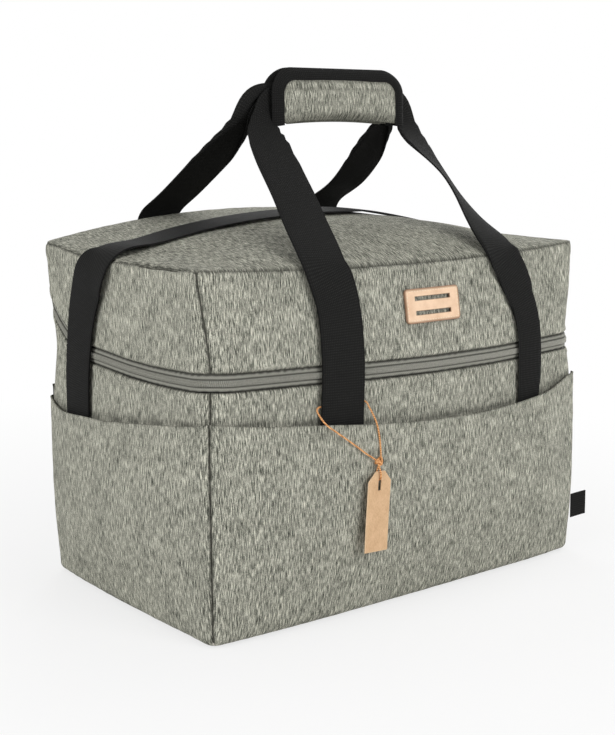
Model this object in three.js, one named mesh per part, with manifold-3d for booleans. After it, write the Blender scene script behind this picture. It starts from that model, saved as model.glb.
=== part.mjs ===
// Soft cooler bag: an insulated box of melange cloth with a zipped, crowned lid, four pockets,
// two webbing carry handles gathered in a padded wrap, a webbing shoulder strap and a swing tag.
// Millimetres, +Z up. X runs along the bag, -Y is the front, and the origin is the centre of the base.
import * as THREE from "three";
import { mergeVertices } from "three/addons/utils/BufferGeometryUtils.js";
import Module from "manifold-3d";

const wasm = await Module();
wasm.setup();

// Driving dimensions of the bag: full lengths, and how far the cloth bows out between the corners
const BASE_LENGTH = 444;
const BELLY_LENGTH = 448;
const ZIP_LENGTH = 446;
const LID_TOP_LENGTH = 454;
const BASE_DEPTH = 280;
const BELLY_DEPTH = 288;
const ZIP_DEPTH = 288;
const LID_TOP_DEPTH = 270;
const FRONT_BASE_BOW = 6;
const FRONT_BELLY_BOW = 16;
const FRONT_ZIP_BOW = 13;
const FRONT_LID_BOW = 10;
const BACK_BELLY_BOW = 12;
const SIDE_BASE_BOW = 3;
const SIDE_BELLY_BOW = 8;
const SIDE_ZIP_BOW = 3;
const SIDE_LID_BOW = 3;
const BELLY_HEIGHT = 90;
const ZIP_HEIGHT = 230;
const ZIP_RISE_START = 55;
const ZIP_FRONT_SAG = 8;
const LID_CORNER_HEIGHT = 320;
const LID_BACK_HEIGHT = 42;
const HINGE_HEIGHT = LID_CORNER_HEIGHT - LID_BACK_HEIGHT;
const LID_EDGE_DROOP = 7;
const LID_CROWN = 40;
const LID_BACK_LIFT = 9;

// Layers of the walls, from the outside in
const GAP = 0.3;
const LAYER_GAP = 0.45;
const CLOTH = 2;
const FOAM = 8;
const LINER = 1;
const BOARD = 2;

// Zip
const TAPE_THICKNESS = 1;
const TAPE_VISIBLE = 6.7;
const COIL_HALF_HEIGHT = 2.55;
const COIL_THICKNESS = 2.6;
const COIL_PROUD = 0.9;
const ZIP_CORNER_RADIUS = 14;
const ZIP_END_SETBACK = 8;
const HINGE_BEAD_RADIUS = 1.1;
const HINGE_EDGE_GAP = 1.5;

// Pockets
const POCKET_CLOTH = 1.5;
const POCKET_BOW = 8;
const POCKET_CORNER_HEIGHT = 192;
const POCKET_MOUTH_HEIGHT = 175;
const POCKET_FOOT = 3;
const POCKET_END_TAPER = 62;

// Webbing, handles and shoulder strap
const WEBBING_WIDTH = 48;
const WEBBING_THICKNESS = 2;
const HANDLE_PIVOT_HEIGHT = 194;
const HANDLE_CLEARANCE = 2.2;
const HANDLE_LEFT_X = -95;
const HANDLE_RIGHT_X = 142;
const HANDLE_LEFT_EDGE_X = -104;
const HANDLE_RIGHT_EDGE_X = 110;
const HANDLE_BACK_SHIFT = 16;
const HANDLE_EXIT = 7;
const HANDLE_ANCHOR_DEPTH = 98;
const STRAP_LEFT_POCKET_Y = 72;
const STRAP_RIGHT_POCKET_Y = 85;
const STRAP_LEFT_EDGE_Y = 14;
const STRAP_LEFT_SWEEP = 1.7;
const STRAP_LEFT_RISE = 0.12;
const STRAP_RIGHT_EDGE_Y = 74;
const STRAP_TOP_Y = 12;
const STRAP_TURN_X = 150;
const STRAP_CLEARANCE = 2.2;
const STRAP_ANCHOR_DEPTH = 88;
const STRAP_LEAN_START = 200;
const STRAP_LEAN_END = 306;
const STRAP_SPLIT_HEIGHT = 233;

// Padded wrap on the handles
const GRIP_CENTRE_X = 26;
const GRIP_LENGTH = 162;
const GRIP_FOOT = 437;
const GRIP_TOP = 491;
const GRIP_PAD = 9;
const GRIP_SOLE = 3;
const GRIP_BINDING = 10;
const GRIP_CORNER_RADIUS = 22;
const HANDLE_FOLD_WIDTH = 24;
const HANDLE_BEND_RADIUS = 16;
const HANDLE_RUN_SPACING = 4.4;
const HOOK_STRIP_THICKNESS = 1;
const HOOK_STRIP_HEIGHT = 20;
const HOOK_STRIP_LENGTH = 104;
const HANDLE_HUG = 0.4;

// Lash tab, label, sliders, adjuster and swing tag
const TAB_LENGTH = 66;
const TAB_HEIGHT = 31;
const TAB_THICKNESS = 2;
const TAB_CORNER_RADIUS = 4;
const TAB_X = 15;
const TAB_Z = 275;
const TAB_SLOT_LENGTH = 43;
const TAB_SLOT_HEIGHT = 3.6;
const TAB_SLOT_SPACING = 13;
const LABEL_LENGTH = 22;
const LABEL_HEIGHT = 25;
const LABEL_THICKNESS = 1.2;
const LABEL_Z = 46;
const SLIDER_LENGTH = 12;
const SLIDER_HEIGHT = 9;
const SLIDER_THICKNESS = 3;
const SLIDER_CORNER_RADIUS = 2.5;
const SLIDER_MEETING_Y = -54;
const PULL_LENGTH = 30;
const PULL_WIDTH = 7;
const PULL_THICKNESS = 1.6;
const PULL_CLEARANCE = 0.5;
const ADJUSTER_HEIGHT = 18;
const ADJUSTER_RIM = 3.5;
const ADJUSTER_WALL = 1;
const ADJUSTER_CLEARANCE = 0.5;
const ADJUSTER_RISE = 20;
const TAG_WIDTH = 30;
const TAG_HEIGHT = 72;
const TAG_THICKNESS = 1.2;
const TAG_CORNER_CUT = 9;
const TAG_X = -63.5;
const TAG_Y = -171;
const TAG_TOP = 135;
const TAG_SLOT_WIDTH = 4;
const TAG_SLOT_HEIGHT = 11;
const TAG_SLOT_DROP = 6.3;
const TWINE_DIAMETER = 1.5;
const TWINE_STEP = 3.6;
const KNOT_RADIUS = 4.2;
const KNOT_PLACE = [-64, -171.6, 143.8];

// Helpers
const { lerp, clamp, smoothstep } = THREE.MathUtils;
const vec = (x, y, z) => new THREE.Vector3(x, y, z);
const ALONG_X = vec(1, 0, 0);
const taper = (share) => 1 - Math.min(1, share * share);

// A size that changes in straight lines between the base, the belly, the zip and the lid's corners.
const LEVELS = [0, BELLY_HEIGHT, ZIP_HEIGHT, LID_CORNER_HEIGHT];
function profile(values, z) {
  let k = 0;
  while (k < LEVELS.length - 2 && z > LEVELS[k + 1]) k++;
  return lerp(values[k], values[k + 1], Math.min(1, (z - LEVELS[k]) / (LEVELS[k + 1] - LEVELS[k])));
}
const halfLength = (z) => profile([BASE_LENGTH, BELLY_LENGTH, ZIP_LENGTH, LID_TOP_LENGTH], z) / 2;
const halfDepth = (z) => profile([BASE_DEPTH, BELLY_DEPTH, ZIP_DEPTH, LID_TOP_DEPTH], z) / 2;
const frontBow = (z) => profile([FRONT_BASE_BOW, FRONT_BELLY_BOW, FRONT_ZIP_BOW, FRONT_LID_BOW], z);
const sideBow = (z) => profile([SIDE_BASE_BOW, SIDE_BELLY_BOW, SIDE_ZIP_BOW, SIDE_LID_BOW], z);

// The back is straight from the hinge up, because the lid turns on it.
function backBow(z) {
  if (z < BELLY_HEIGHT) return lerp(FRONT_BASE_BOW, BACK_BELLY_BOW, z / BELLY_HEIGHT);
  return BACK_BELLY_BOW * (1 - Math.min(1, (z - BELLY_HEIGHT) / (HINGE_HEIGHT - BELLY_HEIGHT)));
}
const frontReach = (x, z) => halfDepth(z) + frontBow(z) * taper(x / halfLength(z));
const backReach = (x, z) => halfDepth(z) + backBow(z) * taper(x / halfLength(z));
const sideReach = (y, z) => halfLength(z) + sideBow(z) * taper(y / halfDepth(z));

// A point on one wall: u runs along the wall, and inset is measured inwards from the outer face.
const WALLS = {
  front: (u, z, inset) => vec(u, inset - frontReach(u, z), z),
  back: (u, z, inset) => vec(u, backReach(u, z) - inset, z),
  left: (u, z, inset) => vec(inset - sideReach(u, z), u, z),
  right: (u, z, inset) => vec(sideReach(u, z) - inset, u, z),
};
const isSide = (wall) => wall === "left" || wall === "right";
const wallHalf = (wall, z) => (isSide(wall) ? halfDepth(z) : halfLength(z));

// The zip line sags along the front and rises to the hinge at the back of each side.
function zipHeight(x, y) {
  const run = clamp((y - ZIP_RISE_START) / (ZIP_DEPTH / 2 - ZIP_RISE_START), 0, 1);
  const front = clamp((-2 * y) / ZIP_DEPTH, 0, 1) ** 4;
  const sag = ZIP_FRONT_SAG * front * taper(x / halfLength(ZIP_HEIGHT));
  return ZIP_HEIGHT - sag + (HINGE_HEIGHT - ZIP_HEIGHT) * run * run;
}
const BODY_EDGE = TAPE_VISIBLE + COIL_HALF_HEIGHT + 2 * GAP;

// The lid's outer face. It climbs from a slightly drooping front edge to an arched back edge.
function lidHeight(u, v) {
  const side = LID_CORNER_HEIGHT + LID_BACK_LIFT * smoothstep(v, 0.2, 1);
  const ridge = LID_CORNER_HEIGHT - LID_EDGE_DROOP + LID_CROWN * (1 - ((1 - v) / 2) ** 4);
  return lerp(ridge, side, u * u);
}
function rimHeight(wall, share) {
  if (isSide(wall)) return lidHeight(1, share);
  return lidHeight(share, wall === "back" ? 1 : -1);
}

// Builds one closed sheet from two grids of points, its outer and its inner face.
function sheet(outer, inner) {
  const rows = outer.length;
  const columns = outer[0].length;
  const points = [...outer.flat(), ...inner.flat()];
  const at = (side, i, j) => side * rows * columns + i * columns + j;
  const faces = [];
  const quad = (a, b, c, d) => faces.push([a, b, c], [a, c, d]);
  for (let i = 0; i + 1 < rows; i++) {
    for (let j = 0; j + 1 < columns; j++) {
      quad(at(0, i, j), at(0, i + 1, j), at(0, i + 1, j + 1), at(0, i, j + 1));
      quad(at(1, i, j), at(1, i, j + 1), at(1, i + 1, j + 1), at(1, i + 1, j));
    }
    quad(at(0, i, 0), at(1, i, 0), at(1, i + 1, 0), at(0, i + 1, 0));
    const last = columns - 1;
    quad(at(0, i, last), at(0, i + 1, last), at(1, i + 1, last), at(1, i, last));
  }
  for (let j = 0; j + 1 < columns; j++) {
    quad(at(0, 0, j), at(0, 0, j + 1), at(1, 0, j + 1), at(1, 0, j));
    const last = rows - 1;
    quad(at(0, last, j), at(1, last, j), at(1, last, j + 1), at(0, last, j + 1));
  }
  let volume = 0;
  for (const [a, b, c] of faces) volume += points[a].dot(points[b].clone().cross(points[c]));
  if (volume < 0) for (const face of faces) face.reverse();
  const geometry = new THREE.BufferGeometry();
  geometry.setAttribute("position", new THREE.Float32BufferAttribute(points.flatMap((p) => p.toArray()), 3));
  geometry.setIndex(faces.flat());
  return geometry;
}

// A grid of points: rows down one list of values, columns down another.
const grid = (rowValues, columnValues, point) => rowValues.map((r) => columnValues.map((c) => point(r, c)));
const steps = (from, to, count) => Array.from({ length: count + 1 }, (_, i) => lerp(from, to, i / count));

// Boolean work on closed geometries.
function solidOf(geometry) {
  const bare = new THREE.BufferGeometry();
  const source = geometry.index ? geometry.toNonIndexed() : geometry;
  bare.setAttribute("position", source.getAttribute("position").clone());
  const merged = mergeVertices(bare, 1e-4);
  const vertProperties = merged.attributes.position.array;
  return new wasm.Manifold(new wasm.Mesh({ numProp: 3, vertProperties, triVerts: new Uint32Array(merged.index.array) }));
}
function geometryOf(solid) {
  const mesh = solid.getMesh();
  const geometry = new THREE.BufferGeometry();
  geometry.setAttribute("position", new THREE.BufferAttribute(new Float32Array(mesh.vertProperties), 3));
  geometry.setIndex(new THREE.BufferAttribute(new Uint32Array(mesh.triVerts), 1));
  return geometry;
}
const cut = (a, b) => geometryOf(solidOf(a).subtract(solidOf(b)));

// Materials, with the colours of the photographed bag
const material = (color, roughness, metalness = 0) => new THREE.MeshStandardMaterial({ color, roughness, metalness });
const melange = material(0x8d8c80, 0.92);
const webbing = material(0x262626, 0.85);
const foam = material(0xe9e9e6, 0.9);
const foil = material(0xb9bcc0, 0.35, 0.6);
const board = material(0x9a948a, 0.8);
const zipCloth = material(0x7d7d74, 0.8);
const coil = material(0x6c6c66, 0.5);
const leather = material(0xdcb48c, 0.6);
const card = material(0xb98a55, 0.9);
const twine = material(0xd39a5c, 0.9);
const metal = material(0x3a3a3c, 0.4, 0.8);

const bag = new THREE.Group();
function add(name, geometry, skin, parent = bag) {
  const mesh = new THREE.Mesh(geometry, skin);
  mesh.name = name;
  parent.add(mesh);
  return mesh;
}

// One layer of a wall between two insets. Its rows of heights come from the place and the lid's rim there.
const FRONT_STEPS = 14;
const SIDE_STEPS = 12;
const wallSteps = (wall) => (isSide(wall) ? SIDE_STEPS : FRONT_STEPS);
function wallLayer(wall, insetOuter, insetInner, rows, endInset) {
  const face = (inset) =>
    steps(-1, 1, wallSteps(wall)).map((t) => {
      const share = t * (1 - endInset / wallHalf(wall, LID_CORNER_HEIGHT));
      const heights = rows(placeAtZip(wall, t, endInset), rimHeight(wall, share));
      return heights.map((z) => WALLS[wall](t * (wallHalf(wall, z) - endInset), z, inset));
    });
  return sheet(face(insetOuter), face(insetInner));
}

const SHELL_FOOT = CLOTH + GAP;
const FOAM_FOOT = SHELL_FOOT + BOARD + GAP;
const FOAM_INSET = CLOTH + LAYER_GAP;
const LINER_INSET = FOAM_INSET + FOAM + LAYER_GAP;
const LINER_FOOT = FOAM_FOOT + FOAM + GAP;
const WALL_NAMES = Object.keys(WALLS);

// The zip's height where it passes a wall, and the hinge's height along the back.
function zipAt(wall, u) {
  if (wall === "back") return HINGE_HEIGHT;
  return isSide(wall) ? zipHeight(ZIP_LENGTH / 2, u) : zipHeight(u, -ZIP_DEPTH / 2);
}

// Where a share of a wall's length meets the zip. The wall narrows upwards, so it is found in a few rounds.
function placeAtZip(wall, share, endInset) {
  let z = ZIP_HEIGHT;
  for (let round = 0; round < 4; round++) z = zipAt(wall, share * (wallHalf(wall, z) - endInset));
  return share * (wallHalf(wall, z) - endInset);
}
const bodyRows = (foot, top) => [foot, BELLY_HEIGHT, Math.min(ZIP_HEIGHT, top - CLOTH), top];

function bodyWalls() {
  for (const wall of WALL_NAMES) {
    const edge = wall === "back" ? HINGE_EDGE_GAP : BODY_EDGE;
    const shellRows = (u) => bodyRows(SHELL_FOOT, zipAt(wall, u) - edge);
    const foamRows = (u) => bodyRows(FOAM_FOOT, zipAt(wall, u) - BODY_EDGE);
    const shellEnd = isSide(wall) ? FOAM_INSET : 0;
    const foamEnd = isSide(wall) ? LINER_INSET : FOAM_INSET;
    add(wall + "_panel", wallLayer(wall, 0, CLOTH, shellRows, shellEnd), melange);
    add("insulation_" + wall, wallLayer(wall, FOAM_INSET, FOAM_INSET + FOAM, foamRows, foamEnd), foam);
  }
}

// A level slab of the base, with the bag's bowed outline at its lower face.
function baseSlab(inset, low, high) {
  const length = halfLength(low) - inset;
  const depth = halfDepth(low) - inset;
  const along = (wall, half, count) => steps(-half, half, count).slice(0, -1).map((u) => WALLS[wall](u, low, inset));
  const reversed = (wall, half, count) => steps(half, -half, count).slice(0, -1).map((u) => WALLS[wall](u, low, inset));
  const outline = [
    ...along("front", length, FRONT_STEPS),
    ...along("right", depth, SIDE_STEPS),
    ...reversed("back", length, FRONT_STEPS),
    ...reversed("left", depth, SIDE_STEPS),
  ];
  const shape = new THREE.Shape(outline.map((p) => new THREE.Vector2(p.x, p.y)));
  return new THREE.ExtrudeGeometry(shape, { depth: high - low, bevelEnabled: false }).translate(0, 0, low);
}

// A block inside the bag, between two faces that are given as a height at each share of the plan.
function planPoint(u, v, z, inset) {
  const bow = v < 0 ? frontBow(z) : backBow(z);
  const x = u * (halfLength(z) - inset + sideBow(z) * (1 - v * v));
  return vec(x, v * (halfDepth(z) - inset + bow * (1 - u * u)), z);
}
function block(inset, topPoint, footHeight) {
  const plan = (point) => grid(steps(-1, 1, FRONT_STEPS), steps(-1, 1, SIDE_STEPS), point);
  return sheet(plan(topPoint), plan((u, v) => planPoint(u, v, footHeight(u, v), inset)));
}
const edgeUnder = (u, v, inset) => zipHeight(u * (ZIP_LENGTH / 2 - inset), v * (ZIP_DEPTH / 2 - inset));
function tub(inset, foot, rise) {
  const top = (u, v) => planPoint(u, v, edgeUnder(u, v, inset) - BODY_EDGE + rise, inset);
  return block(inset, top, () => foot);
}

function base() {
  add("bottom_panel", baseSlab(0, 0, CLOTH), melange);
  add("base_board", baseSlab(FOAM_INSET, SHELL_FOOT, SHELL_FOOT + BOARD), board);
  add("insulation_base", baseSlab(LINER_INSET, FOAM_FOOT, FOAM_FOOT + FOAM), foam);
  const inner = tub(LINER_INSET + LINER, LINER_FOOT + LINER, FOAM);
  add("body_liner", cut(tub(LINER_INSET, LINER_FOOT, 0), inner), foil);
}

// A point of the lid's crowned face, a drop below it and an inset inside its outline.
function lidPoint(u, v, inset, drop) {
  const z = lidHeight(u, v) - drop;
  return planPoint(u, v, Math.min(LID_CORNER_HEIGHT, z), inset).setZ(z);
}
function crownLayer(inset, upper, lower) {
  const face = (drop) =>
    grid(steps(-1, 1, FRONT_STEPS), steps(-1, 1, SIDE_STEPS), (u, v) => lidPoint(u, v, inset, drop));
  return sheet(face(upper), face(lower));
}
function lidBlock(inset, drop, footDrop) {
  const foot = (u, v) => edgeUnder(u, v, inset) + BODY_EDGE - footDrop;
  return block(inset, (u, v) => lidPoint(u, v, inset, drop), foot);
}

function lid() {
  add("lid_top_panel", crownLayer(0, 0, CLOTH), melange);
  add("lid_insulation_top", crownLayer(FOAM_INSET, FOAM_INSET, FOAM_INSET + FOAM), foam);
  for (const wall of WALL_NAMES) {
    const edge = wall === "back" ? HINGE_EDGE_GAP : BODY_EDGE;
    const shellRows = (u, rim) => [zipAt(wall, u) + edge, rim - CLOTH - LAYER_GAP];
    const foamRows = (u, rim) => [zipAt(wall, u) + BODY_EDGE, rim - LINER_INSET - LAYER_GAP];
    const shellEnd = isSide(wall) ? FOAM_INSET : 0;
    const foamEnd = isSide(wall) ? LINER_INSET : FOAM_INSET;
    add("lid_" + wall + "_gusset", wallLayer(wall, 0, CLOTH, shellRows, shellEnd), melange);
    add("lid_insulation_" + wall, wallLayer(wall, FOAM_INSET, FOAM_INSET + FOAM, foamRows, foamEnd), foam);
  }
  const drop = LINER_INSET + 3 * LAYER_GAP;
  const inner = lidBlock(LINER_INSET + LINER, drop + LINER, FOAM);
  add("lid_liner", cut(lidBlock(LINER_INSET, drop, 0), inner), foil);
}

// The zip's path round the left side, the front and the right side, with the direction inwards.
function zipPath() {
  const x = ZIP_LENGTH / 2;
  const y = ZIP_DEPTH / 2;
  const r = ZIP_CORNER_RADIUS;
  const corner = (sign) =>
    steps(0, Math.PI / 2, 4).map((a) => [sign * (x - r + r * Math.cos(a)), r - y - r * Math.sin(a)]);
  const places = steps(1, -1, SIDE_STEPS).map((t) => placeAtZip("left", t, FOAM_INSET));
  const side = [y - ZIP_END_SETBACK, ...places.filter((t) => t < y - ZIP_END_SETBACK - 1 && t > r - y + 1)];
  const outline = [
    ...side.map((t) => [-x, t]),
    ...corner(-1),
    ...steps(r - x, x - r, FRONT_STEPS).slice(1, -1).map((t) => [t, -y]),
    ...corner(1).reverse(),
    ...side.reverse().map((t) => [x, t]),
  ];
  const points = outline.map(([px, py]) => {
    const z = zipHeight(px, py);
    const wide = px * (halfLength(z) / x) + Math.sign(px) * sideBow(z) * taper(py / y);
    return vec(wide, py - frontBow(z) * taper(px / x), z);
  });
  return points.map((point, i) => {
    const before = points[Math.max(0, i - 1)];
    const after = points[Math.min(points.length - 1, i + 1)];
    return [point, vec(before.y - after.y, after.x - before.x, 0).normalize()];
  });
}

function zipBand(insetOuter, insetInner, low, high) {
  const face = (inset) =>
    zipPath().map(([point, inward]) => {
      const foot = point.clone().addScaledVector(inward, inset);
      return [low, high].map((rise) => foot.clone().setZ(point.z + rise));
    });
  return sheet(face(insetOuter), face(insetInner));
}

function zip() {
  const tapeInset = (CLOTH - TAPE_THICKNESS) / 2;
  const coilFoot = GAP / 2;
  const coilTop = coilFoot + COIL_HALF_HEIGHT;
  const tapeFoot = coilTop + GAP;
  const tapeTop = tapeFoot + TAPE_VISIBLE - GAP / 2;
  const coilInset = COIL_THICKNESS - COIL_PROUD;
  add("zip_coil_lower", zipBand(-COIL_PROUD, coilInset, -coilTop, -coilFoot), coil);
  add("zip_coil_upper", zipBand(-COIL_PROUD, coilInset, coilFoot, coilTop), coil);
  add("zip_tape_lower", zipBand(tapeInset, tapeInset + TAPE_THICKNESS, -tapeTop, -tapeFoot), zipCloth);
  add("zip_tape_upper", zipBand(tapeInset, tapeInset + TAPE_THICKNESS, tapeFoot, tapeTop), zipCloth);
}

// The fold of cloth that the lid turns on.
function hingeFold() {
  const length = 2 * (halfLength(HINGE_HEIGHT) - FOAM_INSET);
  const bead = new THREE.CylinderGeometry(HINGE_BEAD_RADIUS, HINGE_BEAD_RADIUS, length, 10);
  const mesh = add("lid_hinge_fold", bead.rotateZ(Math.PI / 2), melange);
  mesh.position.set(0, halfDepth(HINGE_HEIGHT) - CLOTH / 2, HINGE_HEIGHT);
}

// Pockets: a sheet sewn at its foot and ends, bowed out from the wall and open at its mouth.
const pocketRows = (mouth) => [
  POCKET_FOOT,
  lerp(POCKET_FOOT, BELLY_HEIGHT, 0.2),
  lerp(POCKET_FOOT, BELLY_HEIGHT, 0.6),
  BELLY_HEIGHT,
  lerp(BELLY_HEIGHT, mouth, 0.5),
  mouth,
];
function pocketBow(wall, u, z) {
  const along = smoothstep(wallHalf(wall, z) - Math.abs(u), 0, POCKET_END_TAPER);
  const up = Math.sqrt(clamp((z - POCKET_FOOT) / (POCKET_MOUTH_HEIGHT - POCKET_FOOT), 0, 1));
  return POCKET_BOW * along * up;
}
function pocketMouth(wall, u) {
  const settled = smoothstep(wallHalf(wall, POCKET_MOUTH_HEIGHT) - Math.abs(u), 0, POCKET_END_TAPER);
  return lerp(POCKET_CORNER_HEIGHT, POCKET_MOUTH_HEIGHT, settled);
}
function pocket(wall) {
  const endInset = isSide(wall) ? FOAM_INSET : 0;
  const face = (extra) =>
    steps(-1, 1, wallSteps(wall)).map((t) => {
      const mouth = pocketMouth(wall, t * wallHalf(wall, POCKET_MOUTH_HEIGHT));
      return pocketRows(mouth).map((z) => {
        const u = t * (wallHalf(wall, z) - endInset);
        return WALLS[wall](u, z, -(GAP + extra + pocketBow(wall, u, z)));
      });
    });
  add(wall + "_pocket", sheet(face(POCKET_CLOTH), face(0)), melange);
}

// Webbing laid along a smooth line. Each station has a centre, the direction of its width and the width.
const RIBBON_STEPS = 3;
function ribbon(stations) {
  const curve = new THREE.CatmullRomCurve3(stations.map((s) => s.at), false, "centripetal");
  const spans = stations.length - 1;
  const outer = [];
  const inner = [];
  for (const t of steps(0, 1, spans * RIBBON_STEPS)) {
    const k = Math.min(spans - 1, Math.floor(t * spans + 1e-9));
    const share = t * spans - k;
    const width = lerp(stations[k].width ?? WEBBING_WIDTH, stations[k + 1].width ?? WEBBING_WIDTH, share);
    const across = stations[k].across.clone().lerp(stations[k + 1].across, share);
    const centre = curve.getPoint(t);
    const tangent = curve.getTangent(t);
    across.addScaledVector(tangent, -across.dot(tangent)).normalize();
    const normal = tangent.clone().cross(across).normalize();
    const edge = (side, lift) =>
      centre
        .clone()
        .addScaledVector(across, (side * width) / 2)
        .addScaledVector(normal, (lift * WEBBING_THICKNESS) / 2);
    outer.push([edge(-1, 1), edge(1, 1)]);
    inner.push([edge(-1, -1), edge(1, -1)]);
  }
  return sheet(outer, inner);
}

// A station of webbing that lies against a wall, turned to the wall's slope there.
function againstWall(wall, u, z, clearance) {
  const edge = (side) => WALLS[wall](u + (side * WEBBING_WIDTH) / 2, z, 0);
  return { at: WALLS[wall](u, z, -clearance - WEBBING_THICKNESS / 2), across: edge(1).sub(edge(-1)).normalize() };
}

// A station of webbing square to the bag, clear of a wall even where the wall bows out beside it.
function onWall(wall, u, z, clearance) {
  const at = WALLS[wall](Math.abs(u) - WEBBING_WIDTH / 2, z, -clearance - WEBBING_THICKNESS / 2);
  return isSide(wall) ? { at: at.setY(u), across: vec(0, 1, 0) } : { at: at.setX(u), across: ALONG_X };
}

// Handles
const HANDLE_FOLD_X = GRIP_LENGTH / 2 + HANDLE_EXIT;
const HANDLE_RUN_Z = (GRIP_FOOT + GRIP_TOP) / 2;
const faceWall = (face) => (face < 0 ? "front" : "back");
const pivotY = (face) => onWall(faceWall(face), HANDLE_LEFT_X, HANDLE_PIVOT_HEIGHT, HANDLE_CLEARANCE).at.y;

// One leg of a handle: from its pivot over the lid's edge to the wrap, where it folds to half its width.
function handleLeg(face, pocketX, edgeX, inwards) {
  const foldX = GRIP_CENTRE_X - (face > 0 ? HANDLE_BACK_SHIFT : 0) - inwards * HANDLE_FOLD_X;
  const upWall = (x, z) => onWall(faceWall(face), x, z, HANDLE_CLEARANCE);
  const rim = lidHeight((2 * edgeX) / LID_TOP_LENGTH, face);
  const start = upWall(edgeX, rim).at;
  const runY = (face * HANDLE_RUN_SPACING) / 2;
  const gripY = (t) => lerp(start.y, runY, t);
  const free = (t, z, width) => ({ at: vec(lerp(edgeX, foldX, t), gripY(t), z), across: ALONG_X, width });
  const bendZ = HANDLE_RUN_Z - HANDLE_BEND_RADIUS;
  const bend = steps(0, Math.PI / 2, 3).map((a) => ({
    at: vec(
      foldX + inwards * HANDLE_BEND_RADIUS * (1 - Math.cos(a)),
      runY,
      bendZ + HANDLE_BEND_RADIUS * Math.sin(a),
    ),
    across: vec(Math.cos(a), 0, -inwards * Math.sin(a)),
    width: HANDLE_FOLD_WIDTH,
  }));
  const pivot = vec(pocketX, pivotY(face), HANDLE_PIVOT_HEIGHT);
  return [
    { at: pivot, across: ALONG_X },
    { at: pivot.clone().setZ(pivot.z + 3 * WEBBING_THICKNESS), across: ALONG_X },
    upWall(lerp(pocketX, edgeX, 0.04), ZIP_HEIGHT),
    upWall(lerp(pocketX, edgeX, 0.3), HINGE_HEIGHT),
    upWall(edgeX, rim),
    free(0.1, lerp(rim, GRIP_FOOT, 0.16)),
    free(0.5, lerp(rim, GRIP_FOOT, 0.52)),
    free(0.82, lerp(rim, GRIP_FOOT, 0.79), 0.8 * WEBBING_WIDTH),
    { at: vec(lerp(edgeX, foldX, 0.97), runY + face * 4.5, GRIP_FOOT - 9), across: ALONG_X, width: 1.2 * HANDLE_FOLD_WIDTH },
    { at: vec(foldX, runY, GRIP_FOOT - 1), across: ALONG_X, width: HANDLE_FOLD_WIDTH },
    ...bend,
  ];
}

// A handle is one length of webbing: up one side, along inside the wrap, and down the other side.
function handle(name, face) {
  const left = handleLeg(face, HANDLE_LEFT_X, HANDLE_LEFT_EDGE_X, 1);
  const right = handleLeg(face, HANDLE_RIGHT_X, HANDLE_RIGHT_EDGE_X, -1);
  const middle = {
    at: vec(GRIP_CENTRE_X, (face * HANDLE_RUN_SPACING) / 2, HANDLE_RUN_Z),
    across: vec(0, 0, -1),
    width: HANDLE_FOLD_WIDTH,
  };
  const down = right.reverse().map((s) => ({ ...s, across: s.across.clone().negate() }));
  add(name, ribbon([...left, middle, ...down]), webbing);
}

// The sewn stretch of webbing inside a pocket: flat on the wall at its foot, and up to a point at its top.
function anchor(name, wall, u, top, depth) {
  const foot = top.z - depth;
  const sewn = [foot, lerp(foot, POCKET_MOUTH_HEIGHT, 0.5), POCKET_MOUTH_HEIGHT];
  const sewnStations = sewn.map((z, i) => againstWall(wall, u, z, GAP * (1.5 + i)));
  const risen = [2 * WEBBING_THICKNESS, 0].map((drop) => ({ at: top.clone().setZ(top.z - drop), across: ALONG_X }));
  add(name, ribbon([...sewnStations, ...risen]), webbing);
}

function handles() {
  handle("front_handle_webbing", -1);
  handle("back_handle_webbing", 1);
  for (const [wall, face] of [["front", -1], ["back", 1]]) {
    for (const [side, x] of [["left", HANDLE_LEFT_X], ["right", HANDLE_RIGHT_X]]) {
      const top = vec(x, pivotY(face), HANDLE_PIVOT_HEIGHT - 1.5 * WEBBING_THICKNESS);
      anchor(wall + "_handle_anchor_" + side, wall, x, top, HANDLE_ANCHOR_DEPTH);
    }
  }
}

// Shoulder strap: an end sewn in each side pocket, and the stretch between them over the lid
const STRAP_SIDES = { left: STRAP_LEFT_EDGE_Y, right: STRAP_RIGHT_EDGE_Y };
const STRAP_FEET = { left: STRAP_LEFT_POCKET_Y, right: STRAP_RIGHT_POCKET_Y };
function strapPlace(wall, z) {
  const start = wall === "left" ? lerp(STRAP_SPLIT_HEIGHT, STRAP_LEAN_END, STRAP_LEFT_RISE) : STRAP_LEAN_START;
  const lean = clamp((z - start) / (STRAP_LEAN_END - start), 0, 1);
  return lerp(STRAP_FEET[wall], STRAP_SIDES[wall], wall === "left" ? lean ** STRAP_LEFT_SWEEP : lean);
}
function strapOnSide(wall, z) {
  return againstWall(wall, strapPlace(wall, z), z, STRAP_CLEARANCE + COIL_PROUD);
}

function strapEnd(wall) {
  const top = HANDLE_PIVOT_HEIGHT;
  const sewn = [top - STRAP_ANCHOR_DEPTH, lerp(top - STRAP_ANCHOR_DEPTH, POCKET_MOUTH_HEIGHT, 0.5), POCKET_MOUTH_HEIGHT];
  const stations = sewn.map((z, i) => againstWall(wall, STRAP_FEET[wall], z, GAP * (1.5 + i)));
  const risen = [lerp(POCKET_MOUTH_HEIGHT, STRAP_SPLIT_HEIGHT, 0.65), STRAP_SPLIT_HEIGHT - GAP].map((z) => strapOnSide(wall, z));
  add("shoulder_strap_" + wall + "_end", ribbon([...stations, ...risen]), webbing);
}

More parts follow.
